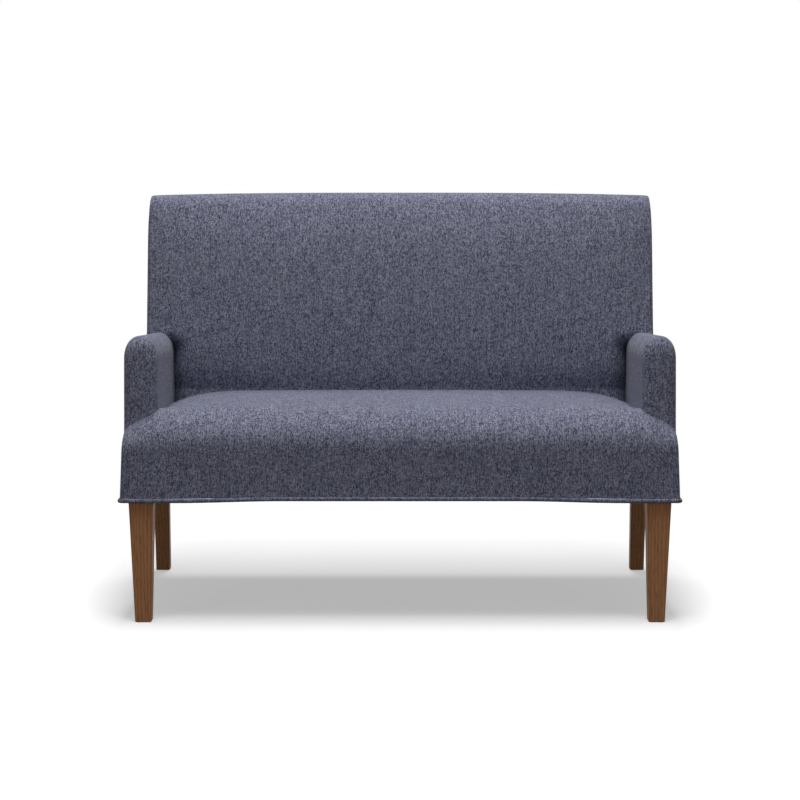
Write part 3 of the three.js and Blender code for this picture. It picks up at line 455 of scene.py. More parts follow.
def slab(name, upper, lower, across, along, keep=None):
    """A closed sheet between two grids of points of one shape, its rim joined all round. keep says which
    cells of the grid it fills. The cloth's map is the place across by the place along."""
    rows, columns = upper.shape[:2]
    index = np.arange(rows * columns).reshape(rows, columns)
    face = np.stack([index[:-1, :-1], index[:-1, 1:], index[1:, 1:], index[1:, :-1]], -1)
    face = face.reshape(-1, 4) if keep is None else face[keep]
    total = rows * columns
    edges = np.stack([face, np.roll(face, -1, 1)], -1).reshape(-1, 2)
    # An edge on the rim is one that no neighbour runs along the other way.
    rim = edges[~np.isin(edges[:, 0] * total + edges[:, 1], edges[:, 1] * total + edges[:, 0])]
    walls = np.stack([rim[:, 0], rim[:, 0] + total, rim[:, 1] + total, rim[:, 1]], -1)
    quads = np.concatenate([face, face[:, ::-1] + total, walls])
    vertices = np.concatenate([upper.reshape(-1, 3), lower.reshape(-1, 3)])
    flat = np.stack(np.broadcast_arrays(across, along), -1).reshape(-1, 2)
    flat = np.concatenate([flat, flat])
    used, order = np.unique(quads, return_inverse=True)
    return link(name, mesh_of(name, vertices[used], order.reshape(quads.shape), flat[quads]))


def bake(piece):
    """Puts what a piece's modifiers make into its mesh."""
    depsgraph = bpy.context.evaluated_depsgraph_get()
    mesh = bpy.data.meshes.new_from_object(piece.evaluated_get(depsgraph))
    piece.modifiers.clear()
    piece.data = mesh


def carve(piece, *rooms):
    """Takes each room out of a piece, and then the rooms themselves out of the scene."""
    before = len(piece.data.vertices)
    for room in rooms:
        step = piece.modifiers.new("room", "BOOLEAN")
        step.operation = "DIFFERENCE"
        step.solver = "MANIFOLD"
        step.object = room
    bake(piece)
    for room in rooms:
        bpy.data.objects.remove(room)
    if len(piece.data.vertices) == before:
        raise RuntimeError(f"The rooms couldn't be cut out of {piece.name}")


def room_round(node, gap):
    """A copy of a CAD node, its corners merged, swollen by a gap along its normals."""
    shape = bmesh.new()
    shape.from_mesh(frame["nodes"][node].data)
    bmesh.ops.remove_doubles(shape, verts=shape.verts, dist=1e-6)
    bmesh.ops.recalc_face_normals(shape, faces=shape.faces)
    shape.normal_update()
    for vertex in shape.verts:
        vertex.co += vertex.normal * vertex.calc_shell_factor() * gap
    mesh = bpy.data.meshes.new(node + "_room")
    shape.to_mesh(mesh)
    shape.free()
    return link(node + "_room", mesh)


def sharpen(mesh):
    """Marks the edges that turn by more than the crease angle as sharp, so that cut edges stay crisp."""
    shape = bmesh.new()
    shape.from_mesh(mesh)
    for edge in shape.edges:
        edge.smooth = edge.calc_face_angle(0) < CREASE_ANGLE
    shape.to_mesh(mesh)
    shape.free()


def settle_normals(piece):
    """Weighs the shading by the faces' areas, so that the long faces of a cut don't bend it."""
    step = piece.modifiers.new("normals", "WEIGHTED_NORMAL")
    step.mode = "FACE_AREA"
    step.keep_sharp = True
    bake(piece)


def finish_piece(piece, material, slot, fill, *nodes):
    """Dresses a padded piece, stands it for its CAD nodes and rides it on the frame."""
    piece.data.materials.clear()
    piece.data.materials.append(material)
    sharpen(piece.data)
    settle_normals(piece)
    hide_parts(*nodes)
    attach(piece, "root")


# Bodies of the upholstery


def widths(half, radius, columns):
    """Places from side to side: even over the flat middle, and evenly turned round each end."""
    turn = np.linspace(0, QUARTER, CORNER_POINTS)
    end = half - radius + radius * np.sin(turn)
    middle = np.linspace(radius - half, half - radius, columns)
    return np.concatenate([-end[:0:-1], middle, end[1:]])


def seat_body(name, lines):
    """The seat: for each width a ring up the front face, round the roll, over the crown, and back along
    the bottom. The roll is a cubic curve, drawn down with seat_drop in proportion to its height."""
    form = lines.form
    x = widths(lines.body_half, form.seat_corner, form.seat_columns)[:, None]
    corner = (np.abs(x) - (lines.body_half - form.seat_corner)) / form.seat_corner
    front = lines.front_face + round_off(form.seat_corner, corner)
    low = lines.bottom + lines.hem_lift(x)

    rise = np.linspace(0, 1, SEAT_FACE_POINTS)[None, :-1]
    face_z = low + (lines.roll_foot - low) * rise
    run = form.front_slope / (lines.roll_foot - lines.bottom)
    face_depth = front + run * (face_z - lines.bottom)

    share = np.linspace(0, 1, SEAT_ROLL_POINTS)[None, :-1]
    crest = front + form.front_slope
    roll_depth = cubic(crest, crest, lines.roll_end - form.roll_run, lines.roll_end, share)
    handle_z = lines.roll_top - form.roll_run * lines.crown_slope()
    roll_z = cubic(lines.roll_foot, lines.roll_foot + form.roll_rise, handle_z, lines.roll_top, share)
    drawn = 1 - lines.seat_drop(x, roll_depth) / form.roll_height
    roll_z = lines.roll_foot + (roll_z - lines.roll_foot) * drawn

    along = np.linspace(0, SEAT_REACH, SEAT_TOP_POINTS)[None, :]
    top_depth = lines.roll_end + (form.seat_depth - lines.roll_end) * along
    top_depth = np.broadcast_to(top_depth, (len(x), SEAT_TOP_POINTS))
    top_z = lines.roll_top + lines.crown(along) - lines.seat_drop(x, top_depth)

    depth = np.concatenate([face_depth, roll_depth, top_depth], 1)
    z = np.concatenate([face_z, roll_z, top_z], 1)
    # The way back along the bottom holds as many points as the way out.
    under = np.linspace(0, 1, depth.shape[1] + 1)[None, :0:-1]
    under_depth = depth[:, :1] + (depth[:, -1:] - depth[:, :1]) * under
    depth = np.concatenate([depth, under_depth], 1)
    z = np.concatenate([z, np.broadcast_to(low, under_depth.shape)], 1)
    rings = place(x * (1 + lines.seat_spread(z) / lines.body_half), depth, z)
    return body(name, rings, x[:, 0], [1, 2])


def arm_body(name, lines, inset, bottom, side):
    """An arm: for each depth a ring up the inner side, over a soft top and down the outer side. Each
    half of the top is a cubic curve. At the front the sides draw in by a quarter circle, which goes
    smoothly to nothing below the seat, the top comes down by another cubic curve, and the face leans
    back as the square of the height."""
    form = lines.form
    start = form.arm_setback
    turn = np.linspace(0, 1, ARM_NOSE_POINTS)
    nose = start + cubic(0, 0, form.nose_depth * (1 - form.nose_run), form.nose_depth, turn)
    drop = cubic(form.nose_height, form.nose_height * (1 - form.nose_rise), 0, 0, turn)
    rear = lines.back_face(form.arm_height) + form.overrun
    straight = np.linspace(nose[-1], rear, form.arm_columns)[1:]
    depth = np.concatenate([nose, straight])[:, None]
    fall = np.concatenate([drop, np.zeros_like(straight)])[:, None]
    steps = np.hypot(np.diff(depth[:, 0]), np.diff(fall[:, 0]))
    across = np.concatenate([[0], np.cumsum(steps)])
    edge = round_off(form.arm_edge, (start + form.arm_edge - depth) / form.arm_edge)
    top = lines.arm_ridge(depth) - inset - fall
    shoulder = top - form.arm_shoulder
    outer = lines.body_half - inset - edge
    inner = lines.arm_inner(depth) + inset + edge
    outer_top = outer + lines.flare(shoulder)
    middle = (outer_top + inner) / 2

    rise = np.linspace(0, 1, ARM_SIDE_POINTS)[None, :-1]
    side_z = bottom + (shoulder - bottom) * rise
    # With its front edges square below the seat, the arm's side runs on into the ear's.
    low_edge = edge * smooth((side_z - lines.roll_foot) / form.roll_height)
    low_inner = lines.arm_inner(depth) + inset + low_edge
    low_outer = lines.body_half - inset - low_edge + lines.flare(side_z)
    share = np.linspace(0, 1, ARM_SHOULDER_POINTS)[None, :]
    curve_z = cubic(shoulder, shoulder + form.arm_rise * form.arm_shoulder, top, top, share)
    inner_x, outer_x = (cubic(x, x, middle + form.arm_cross * (x - middle), middle, share)
                        for x in (inner, outer_top))
    x = np.concatenate([low_inner, inner_x, outer_x[:, ::-1], low_outer[:, ::-1]], 1)
    z = np.concatenate([side_z, curve_z, curve_z[:, ::-1], side_z[:, ::-1]], 1)
    # Both halves of the top end in its middle, so the second one's end moves half a step on.
    half = x.shape[1] // 2
    x[:, half] = (x[:, half] + x[:, half + 1]) / 2
    forward = np.where(depth >= rear, 0.0, inset)
    up = np.clip(1 - (form.arm_height - z) / form.arm_lean_rise, 0, 1)
    lean = form.arm_lean * up ** 2 * (1 - smooth((depth - start) / form.arm_lean_run))
    rings = place(x * side, depth + forward + lean, z)
    return body(name, rings, across, [0, 2], nose=True)


def back_body(name, lines, inset, bottom):
    """The back: for each width a ring up the leaning face, which swells as a parabola and rolls away near
    its top as the square of the height, round the top edge as an arc that leaves the face without a
    crease, and back down the rear at the same heights. The face draws in along each arm as the fourth
    power of the place across, and behind the seat as the square of the height."""
    form = lines.form
    x = widths(lines.back_half - inset, form.back_edge, form.back_columns)[:, None]
    corner = (np.abs(x) - (lines.back_half - inset - form.back_edge)) / form.back_edge
    edge = round_off(form.back_edge, corner)
    across = np.clip(np.abs(x) / lines.back_half, 0, 1)
    swell = form.back_crown * (1 - across ** 4)
    top = lines.top - form.back_corner_fall * across ** 3 - inset - edge * END_DIP
    height = lines.top - form.seat_height

    # Both draws run out under the arm, so that the sides stay whole.
    within = (lines.arm_inner(form.seat_depth) - np.abs(x)) / form.back_tuck_run
    covered = smooth(1 + within * form.back_tuck_run / form.back_tuck_out)
    tuck = np.clip(1 - within, 0, 1) ** 4 * covered
    tuck_top = form.arm_height - form.arm_fall

    def face(z):
        """Depth of the face at heights."""
        up = np.clip((z - form.seat_height) / height, 0, 1)
        away = form.back_soft * np.clip(1 - (lines.top - z) / form.back_soft_run, 0, 1) ** 2
        drawn = form.back_tuck * tuck * smooth((tuck_top - z) / form.back_tuck_fade)
        foot = np.clip(1 - (z - form.seat_height) / form.back_foot_run, 0, 1) ** 2
        foot = form.back_foot * foot * (1 + 2 * across ** 4) * covered
        return lines.back_face(z) + inset + edge - swell * 4 * up * (1 - up) + away + drawn + foot

    shoulder = top - form.back_top
    slope = form.back_lean - swell * 4 * (1 - 2 * (shoulder - form.seat_height) / height) / height
    slope += 2 * form.back_soft / form.back_soft_run * (1 - (lines.top - shoulder) / form.back_soft_run)
    tilt = np.arctan(slope)
    round_radius = form.back_top / (1 - np.sin(tilt))
    rise = np.linspace(0, 1, BACK_FACE_POINTS)[None, :-1]
    face_z = bottom + (shoulder - bottom) * rise
    angle = tilt + (QUARTER - tilt) * np.linspace(0, 1, BACK_EDGE_POINTS)[None, :]
    arc_depth = face(shoulder) + round_radius * (np.cos(tilt) - np.cos(angle))
    arc_z = top - round_radius * (1 - np.sin(angle))

    # The rear's upright edges are rounded half as far as the face's.
    radius = form.back_rear_edge
    rear_top = top - radius
    rear_z = np.minimum(face_z, rear_top)
    rear_depth = lines.back_rear(rear_z) - inset - edge / 2
    corner = np.linspace(0, QUARTER, BACK_REAR_EDGE_POINTS)[None, :]
    rear_at_top = lines.back_rear(rear_top) - inset - edge / 2
    corner_depth = rear_at_top - radius * (1 - np.cos(corner))
    corner_z = rear_top + radius * np.sin(corner)
    flat = np.linspace(0, 1, BACK_TOP_POINTS)[None, 1:] * TOP_STOP
    flat_depth = corner_depth[:, -1:] + (arc_depth[:, -1:] - corner_depth[:, -1:]) * flat
    flat_z = np.broadcast_to(corner_z[:, -1:], flat_depth.shape)
    behind_depth = np.concatenate([rear_depth, corner_depth, flat_depth], 1)
    behind_z = np.concatenate([rear_z, corner_z, flat_z], 1)
    depth = np.concatenate([face(face_z), arc_depth, behind_depth[:, ::-1]], 1)
    z = np.concatenate([face_z, arc_z, behind_z[:, ::-1]], 1)
    rings = place(x * (1 + lines.back_spread(z) / lines.back_half), depth, z)
    return body(name, rings, x[:, 0], [1, 2])


# Cord and sheets


def hem_cord(lines):
    """The hem: a round section carried round a rectangle with rounded corners, lifted in the front."""
    form = lines.form
    corner = form.hem_corner
    half = lines.side_half - corner
    front, rear = lines.front_face + corner, lines.base_rear - corner
    turn = np.linspace(0, QUARTER, HEM_CORNER_POINTS)
    arcs = []
    for x, depth, quarter in ((-half, front, 2), (half, front, 3), (half, rear, 0), (-half, rear, 1)):
        angle = quarter * QUARTER + turn
        arcs.append(np.stack([x + corner * np.cos(angle), depth + corner * np.sin(angle)], -1))
    parts = []
    for k, (arc, following) in enumerate(zip(arcs, arcs[1:] + arcs[:1])):
        run = np.linspace(0, 1, HEM_RUN_POINTS[k])[1:-1, None]
        parts += [arc, arc[-1] + (following[0] - arc[-1]) * run]
    path = np.concatenate(parts)
    ahead = np.roll(path, -1, 0) - np.roll(path, 1, 0)
    ahead /= np.linalg.norm(ahead, axis=1)[:, None]
    out = np.stack([ahead[:, 1], -ahead[:, 0]], -1)
    in_front = path[:, 1] < lines.front_face + corner
    lift = np.where(in_front, lines.hem_lift(path[:, 0]), 0)
    height = (HEM_LOW.z + form.hem_radius + lift)[:, None]
    angle = np.linspace(0, 2 * math.pi, HEM_ROUND_POINTS, endpoint=False)[None, :]
    reach = form.hem_radius * np.cos(angle)
    x = path[:, :1] + out[:, :1] * reach
    depth = path[:, 1:] + out[:, 1:] * reach
    rings = place(x, depth, height + form.hem_radius * np.sin(angle))
    sections, size = rings.shape[:2]
    index = np.arange(sections * size).reshape(sections, size)
    quads = strip(index, np.roll(index, -1, 0))
    steps = np.linalg.norm(path - np.roll(path, 1, 0), axis=1)
    across = np.broadcast_to(np.cumsum(steps)[:, None], (sections, size))
    along = np.broadcast_to(angle * form.hem_radius, (sections, size))
    flat = np.stack([across, along], -1).reshape(-1, 2)
    return link("hem", mesh_of("hem", rings.reshape(-1, 3), quads, flat[quads]))


def rear_panel(lines):
    """The flat panel over the back's rear. Near its edge its outside draws in by half its thickness, in a
    smooth step. Returns the piece and its flat size."""
    form = lines.form
    low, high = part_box("back_rear_panel")
    x = np.linspace(low.x, high.x, PANEL_POINTS[0])[:, None]
    z = np.linspace(low.z, high.z, PANEL_POINTS[1])[None, :]
    edge = np.minimum(np.minimum(x - low.x, high.x - x), np.minimum(z - low.z, high.z - z))
    draw = form.fabric / 2 * (1 - smooth(edge / (form.back_edge / 2)))
    outer = place(x, lines.back_rear(z) - draw, z)
    inner = place(x, lines.back_rear(z) - form.fabric, z)
    return slab("rear_panel", outer, inner, x, z), (high.x - low.x, high.z - low.z)


def arch(lines, depths):
    """Height of the spring pad's top over its depth: a parabola between the pad's two ends."""
    low = PAD_LOW.z + lines.form.pad
    share = (depths + FRONT_PLANE - PAD_LOW.y) / (PAD_HIGH.y - PAD_LOW.y)
    return low + (PAD_HIGH.z - low) * 4 * share * (1 - share)


def spring_felt(lines):
    """The felt over the springs, which follows their arch."""
    x = np.linspace(PAD_LOW.x, PAD_HIGH.x, FELT_POINTS[0])[None, :]
    depth = np.linspace(PAD_LOW.y, PAD_HIGH.y, FELT_POINTS[1])[:, None] - FRONT_PLANE
    top = arch(lines, depth)
    return slab("spring_felt", place(x, depth, top), place(x, depth, top - lines.form.pad), x, depth)


def stops(places, counts):
    """Places along an axis: each span between two given places, cut into a given number of steps."""
    spans = [np.linspace(a, b, count, endpoint=False) for a, b, count in zip(places, places[1:], counts)]
    return np.concatenate([*spans, places[-1:]])


def dust_cloth(form):
    """The cloth under the frame: stapled to the rails and the middle brace, cut out round the legs, and
    sagging a little in each half as the product of two parabolas. Returns the piece and its area."""
    front_low, front_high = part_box("leg_front_right")
    rear_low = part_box("leg_rear_right")[0]
    half = DUST_HIGH.x
    front_in, rear_in = front_low.x - form.dust_play, rear_low.x - form.dust_play
    front_back, rear_front = front_high.y + form.dust_play, rear_low.y - form.dust_play
    x = stops([-half, -rear_in, -front_in, 0.0, front_in, rear_in, half], DUST_STEPS_ACROSS)[None, :]
    y = stops([DUST_LOW.y, front_back, rear_front, DUST_HIGH.y], DUST_STEPS_ALONG)[:, None]
    share_x, share_y = np.abs(x) / half, (y - DUST_LOW.y) / (DUST_HIGH.y - DUST_LOW.y)
    sag = form.dust_sag * 16 * share_x * (1 - share_x) * share_y * (1 - share_y)
    middle_x, middle_y = np.abs(x[:, 1:] + x[:, :-1]) / 2, (y[1:] + y[:-1]) / 2
    cut = (middle_x > front_in) & (middle_y < front_back) | (middle_x > rear_in) & (middle_y > rear_front)
    top = place(x, y - FRONT_PLANE, DUST_HIGH.z - sag)
    low = place(x, y - FRONT_PLANE, DUST_LOW.z - sag)
    area = 2 * half * (DUST_HIGH.y - DUST_LOW.y)
    area -= 2 * (half - front_in) * (front_back - DUST_LOW.y)
    area -= 2 * (half - rear_in) * (DUST_HIGH.y - rear_front)
    return slab("dust_cloth", top, low, x, y, ~cut), area


# Rooms inside the upholstery, where the frame and the springs are


def on_side(side, first, second):
    """Two distances from the middle as widths on the right (1) or the left (-1), the lower one first."""
    return sorted((first * side, second * side))


def deck_room(lines):
    """Room under the seat's padding, for its rails, springs and felt."""
    form = lines.form
    pad = np.linspace(PAD_LOW.y, PAD_HIGH.y, DECK_POINTS) - FRONT_PLANE
    front = RAIL_LOW.y - FRONT_PLANE - form.gap
    rear = lines.base_rear + form.overrun
    top = [(depth, float(arch(lines, depth)) + form.gap) for depth in pad]
    profile = [(front, -form.overrun), (front, top[0][1]), *top, (rear, top[-1][1]), (rear, -form.overrun)]
    return prism("deck_room", profile, -lines.room_half, lines.room_half)


def back_frame_room(lines):
    """Room behind the back's padding, for its posts, rails and webs."""
    form = lines.form
    top = POST_TOP + form.gap
    rear = lines.back_top_rear + form.overrun

    def front(z):
        return float(lines.frame_face(z)) - form.web - form.gap

    profile = [(front(0), -form.overrun), (rear, -form.overrun), (rear, top), (front(top), top),
               (front(form.knee), form.knee)]
    return prism("back_frame_room", profile, -lines.room_half, lines.room_half)


def back_low_room(lines):
    """Room under the back's padding, for the seat's frame."""
    form = lines.form
    high = (lines.room_half, lines.base_rear + form.overrun, PAD_HIGH.z + 2 * form.gap)
    return box_room("back_low_room", (-lines.room_half, 0, -form.overrun), high)


def rear_panel_room(lines):
    """Room for the rear panel, let into the back's rear."""
    form = lines.form
    half = lines.back_half - form.back_edge + form.gap
    top = lines.top - form.back_corner_fall - form.back_rear_edge - form.fabric + form.gap
    inner = form.fabric + form.gap
    top_rear = float(lines.back_rear(top))
    profile = [(lines.base_rear - inner, 0), (lines.base_rear + form.overrun, 0),
               (top_rear + form.overrun, top), (top_rear - inner, top),
               (lines.base_rear - inner, form.knee)]
    return prism("rear_panel_room", profile, -half, half)


def arm_rooms(lines, side):
    """Room for the arm's frame and board, and for the seat's frame under them."""
    form = lines.form
    post_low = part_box("arm_post_right")[0]
    rail_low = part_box("arm_top_rail_right")[0]
    outer = lines.frame_half + form.panel + form.gap
    front = post_low.y - FRONT_PLANE - form.gap
    rear = float(lines.back_face(form.arm_height)) + form.overrun * 2
    tops = [float(lines.arm_ridge(depth)) - form.arm_padding + form.gap for depth in (front, rear)]
    thick = RAIL_HIGH.y - RAIL_LOW.y + 2 * form.gap
    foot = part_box("arm_panel_right")[0].z - form.gap
    wall = [(front, foot), (rear, foot), (rear, tops[1]), (front, tops[0])]
    rail = [(front, tops[0] - thick), (rear, tops[1] - thick), (rear, tops[1]), (front, tops[0])]
    rooms = [prism("arm_room", profile, *on_side(side, inner - form.gap, outer))
             for profile, inner in ((wall, post_low.x), (rail, rail_low.x))]
    low, high = on_side(side, lines.body_half - form.arm_thickness - form.overrun, lines.room_half)
    top = PAD_HIGH.z + 2 * form.gap
    rooms.append(box_room("arm_low_room", (low, 0, -form.overrun), (high, rear, top)))
    return rooms


def arm_side_room(lines, side):
    """Everything beside the middle of an arm, from its front back."""
    form = lines.form
    low, high = on_side(side, lines.body_half - form.arm_thickness / 2, lines.side_half + form.overrun)
    return box_room("arm_side_room", (low, form.arm_setback - form.gap, -form.overrun),
                    (high, lines.base_rear + form.overrun, form.arm_height + form.overrun))


def back_side_room(lines, side):
    """Everything beside the back, from a little behind its front face."""
    form = lines.form
    low_z, high_z = -form.overrun, form.arm_height + form.overrun
    front = [float(lines.back_face(z)) + form.back_edge for z in (low_z, high_z)]
    rear = lines.base_rear + form.overrun
    profile = [(front[0], low_z), (rear, low_z), (rear, high_z), (front[1], high_z)]
    ends = on_side(side, lines.back_half - form.back_edge, lines.side_half + form.overrun)
    return prism("back_side_room", profile, *ends)


# Finishes


class Graph:
    """Adds nodes to a node tree and joins them. An input goes by its name, or by i and its number."""

    def __init__(self, tree):
        self.tree = tree

    def add(self, kind, settings=None, **inputs):
        node = self.tree.nodes.new(kind)
        for key, value in (settings or {}).items():
            setattr(node, key, value)
        for key, value in inputs.items():
            self.set(node, key, value)
        return node

    def set(self, node, key, value):
        socket = node.inputs[int(key[1:])] if key[0] == "i" and key[1:].isdigit() else node.inputs[key]
        if isinstance(value, bpy.types.NodeSocket):
            self.tree.links.new(value, socket)
        else:
            socket.default_value = value

    def maths(self, operation, *values):
        node = self.add("ShaderNodeMath", {"operation": operation})
        for k, value in enumerate(values):
            self.set(node, f"i{k}", value)
        return node.outputs[0]

    def plus(self, first, second):
        return self.maths("ADD", first, second)

    def times(self, first, second):
        return self.maths("MULTIPLY", first, second)

    def mix(self, share, first, second, blend="MIX"):
        kind = {"data_type": "RGBA", "blend_type": blend}
        return self.add("ShaderNodeMix", kind, i0=share, i6=first, i7=second).outputs[2]

    def spread(self, value, low, high, new_low=0.0, new_high=1.0):
        """Moves a value from one range to another, within the new range."""
        node = self.add("ShaderNodeMapRange")
        for k, entry in enumerate((value, low, high, new_low, new_high)):
            self.set(node, f"i{k}", entry)
        return node.outputs[0]


def group(name, inputs, outputs):
    """A shader node group with its named inputs and outputs. Each is a name, a kind and a start value."""
    tree = bpy.data.node_groups.new(name, "ShaderNodeTree")
    for label, kind, start in inputs:
        socket = tree.interface.new_socket(label, in_out="INPUT", socket_type=kind)
        if start is not None:
            socket.default_value = start
    for label, kind in outputs:
        tree.interface.new_socket(label, in_out="OUTPUT", socket_type=kind)
    graph = Graph(tree)
    return graph, graph.add("NodeGroupInput"), graph.add("NodeGroupOutput")


def heather_group():
    """Melange cloth: upright yarns broken into flecks of random tone, with threads across them, a few warm
    flecks and slow patches of tone. Each yarn and fleck is a cell of the map, with a random number."""
    graph, given, made = group("Heather cloth", [
        ("Vector", VECTOR_SOCKET, None),
        ("Cloth", COLOUR_SOCKET, (0.16, 0.17, 0.25, 1)),
        ("Light", COLOUR_SOCKET, (0.37, 0.38, 0.52, 1)),
        ("Dark", COLOUR_SOCKET, (0.04, 0.05, 0.08, 1)),
        ("Warm", COLOUR_SOCKET, (0.23, 0.19, 0.22, 1)),
        ("Yarn", NUMBER_SOCKET, 0.0014),
        ("Fleck", NUMBER_SOCKET, 0.0052),
    ], [("Color", COLOUR_SOCKET), ("Height", NUMBER_SOCKET)])
    where, flat = given.outputs["Vector"], {"noise_dimensions": "2D"}
    split = graph.add("ShaderNodeSeparateXYZ", i0=where)
    wander = graph.add("ShaderNodeTexNoise", flat, Vector=where, Scale=60.0, Detail=1.0)
    # The yarns wander by up to 0.8 of their own width to each side.
    sway = graph.times(graph.maths("SUBTRACT", wander.outputs[0], 0.5), 1.6)
    u = graph.plus(graph.maths("DIVIDE", split.outputs[0], given.outputs["Yarn"]), sway)
    v = graph.maths("DIVIDE", split.outputs[1], given.outputs["Fleck"])

    def flecks(across, along, seed):
        """A random number and colour for each fleck. Each yarn starts its flecks at a random place."""
        furthest_start = 19.0
        column = graph.maths("FLOOR", across)
        start = graph.add("ShaderNodeTexWhiteNoise", {"noise_dimensions": "1D"}, W=graph.plus(column, seed))
        cell = graph.maths("FLOOR", graph.plus(along, graph.times(start.outputs[0], furthest_start)))
        spot = graph.add("ShaderNodeCombineXYZ", i0=column, i1=cell, i2=seed)
        noise = graph.add("ShaderNodeTexWhiteNoise", {"noise_dimensions": "3D"}, Vector=spot.outputs[0])
        return noise.outputs[0], noise.outputs[1]

    def scaled(across, along):
        return graph.times(u, across), graph.times(v, along)

    # The tone of a place: long and short flecks, threads across them and faint streaks along the yarns.
    long_tone, tint = flecks(u, v, seed=3.7)
    short_tone, _ = flecks(*scaled(across=1.31, along=2.3), seed=11.2)
    cross_tone, _ = flecks(*reversed(scaled(across=0.2, along=2.6)), seed=23.9)
    streak_tone, _ = flecks(*scaled(across=0.83, along=0.08), seed=41.3)
    shares = ((long_tone, 0.42), (short_tone, 0.28), (cross_tone, 0.2), (streak_tone, 0.1))
    parts = [graph.times(part, share) for part, share in shares]
    tone = graph.plus(graph.plus(*parts[:2]), graph.plus(*parts[2:]))

    # Below the middle tone the cloth goes to the dark yarn, and above it to the light one.
    lowest, middle, highest = 0.24, 0.5, 0.76
    darkness = graph.spread(tone, lowest, middle, 1.0, 0.0)
    dark = graph.mix(darkness, given.outputs["Cloth"], given.outputs["Dark"])
    cloth = graph.mix(graph.spread(tone, middle, highest), dark, given.outputs["Light"])
    # One fleck in ten is partly warm.
    tint_split = graph.add("ShaderNodeSeparateColor", i0=tint)
    warm = graph.times(graph.maths("GREATER_THAN", tint_split.outputs[1], 0.9), 0.4)
    cloth = graph.mix(warm, cloth, given.outputs["Warm"])
    # Slow patches are a little darker and bluer, or lighter and greyer.
    patches = graph.add("ShaderNodeTexNoise", flat, Vector=where, Scale=30.0, Detail=2.0)
    ranges = ((0.94, 1.06), (0.945, 1.055), (0.98, 1.02))
    levels = {f"i{k}": graph.spread(patches.outputs[0], 0.3, 0.7, *limits) for k, limits in enumerate(ranges)}
    shade = graph.add("ShaderNodeCombineColor", **levels)
    cloth = graph.mix(1.0, cloth, shade.outputs[0], "MULTIPLY")
    graph.set(made, "Color", cloth)

    # The threads' height: a wave for each yarn across, by five waves along each fleck.
    across_wave = graph.maths("ABSOLUTE", graph.maths("SINE", graph.times(u, math.pi)))
    along_wave = graph.maths("ABSOLUTE", graph.maths("SINE", graph.times(v, math.pi * 5)))
    threads = graph.times(across_wave, along_wave)
    graph.set(made, "Height", graph.plus(threads, graph.times(tone, 0.6)))
    return graph.tree


def grain_group():
    """Wood: growth lines as a wave bent by slow noise, with short fine pores along the grain."""
    graph, given, made = group("Wood grain", [
        ("Vector", VECTOR_SOCKET, None),
        ("Wood", COLOUR_SOCKET, (0.2, 0.1, 0.05, 1)),
        ("Grain", COLOUR_SOCKET, (0.1, 0.05, 0.02, 1)),
        ("Roughness", NUMBER_SOCKET, 0.4),
    ], [("Color", COLOUR_SOCKET), ("Roughness", NUMBER_SOCKET), ("Height", NUMBER_SOCKET)])
    # The pattern is about eleven times as long along the grain as across it.
    long = graph.add("ShaderNodeMapping", i0=given.outputs["Vector"], Scale=(1.0, 1.0, 0.09)).outputs[0]
    slow = graph.add("ShaderNodeTexNoise", Vector=long, Scale=55.0, Detail=3.0, Distortion=0.6)
    fine = graph.add("ShaderNodeTexNoise", Vector=long, Scale=420.0, Detail=3.0)
    ring = graph.add("ShaderNodeTexWave", {"wave_type": "BANDS", "bands_direction": "X"}, Vector=long,
                     Scale=38.0, Distortion=7.0, Detail=2.0)
    lines = graph.plus(graph.times(ring.outputs[1], 0.35), graph.times(slow.outputs[0], 0.65))
    share = graph.spread(lines, 0.3, 0.75)
    wood = graph.mix(share, given.outputs["Grain"], given.outputs["Wood"])
    pores = graph.spread(fine.outputs[0], 0.32, 0.5, 0.72, 1.0)
    shade = graph.add("ShaderNodeCombineColor", i0=pores, i1=pores, i2=pores)
    graph.set(made, "Color", graph.mix(1.0, wood, shade.outputs[0], "MULTIPLY"))
    rough = graph.plus(given.outputs["Roughness"], graph.spread(fine.outputs[0], 0.3, 0.7, 0.06, -0.04))
    graph.set(made, "Roughness", rough)
    graph.set(made, "Height", pores)
    return graph.tree


def material(name, settings):
    """A new material with its graph and its shader, whose plain settings are given."""
    made = bpy.data.materials.new(name)
    made.use_nodes = True
    shader = made.node_tree.nodes["Principled BSDF"]
    for key, value in settings.items():
        shader.inputs[key].default_value = value
    return made, Graph(made.node_tree), shader


def bump(graph, shader, height, strength, distance):
    """Bends the shading of a shader by a height, over a distance in metres."""
    node = graph.add("ShaderNodeBump", Strength=strength, Distance=distance, Height=height)
    graph.set(shader, "Normal", node.outputs[0])


def opaque(shade):
    return (*shade, 1.0)


def cloth_material(finish):
    """The cover cloth, on the piece's own map."""
    matt = {"Roughness": 0.95, "Specular IOR Level": 0.15, "Sheen Weight": 0.12, "Sheen Roughness": 0.6}
    made, graph, shader = material("Heather cloth", matt)
    where = graph.add("ShaderNodeUVMap", {"uv_map": "Cloth"})
    cloth = graph.add("ShaderNodeGroup", {"node_tree": heather_group()}, Vector=where.outputs[0],
                      Cloth=opaque(finish.cloth), Light=opaque(finish.cloth_light),
                      Dark=opaque(finish.cloth_dark), Warm=opaque(finish.cloth_warm),
                      Yarn=finish.yarn, Fleck=finish.fleck)
    graph.set(shader, "Base Color", cloth.outputs["Color"])
    bump(graph, shader, cloth.outputs["Height"], 0.35, 0.0004)
    return made


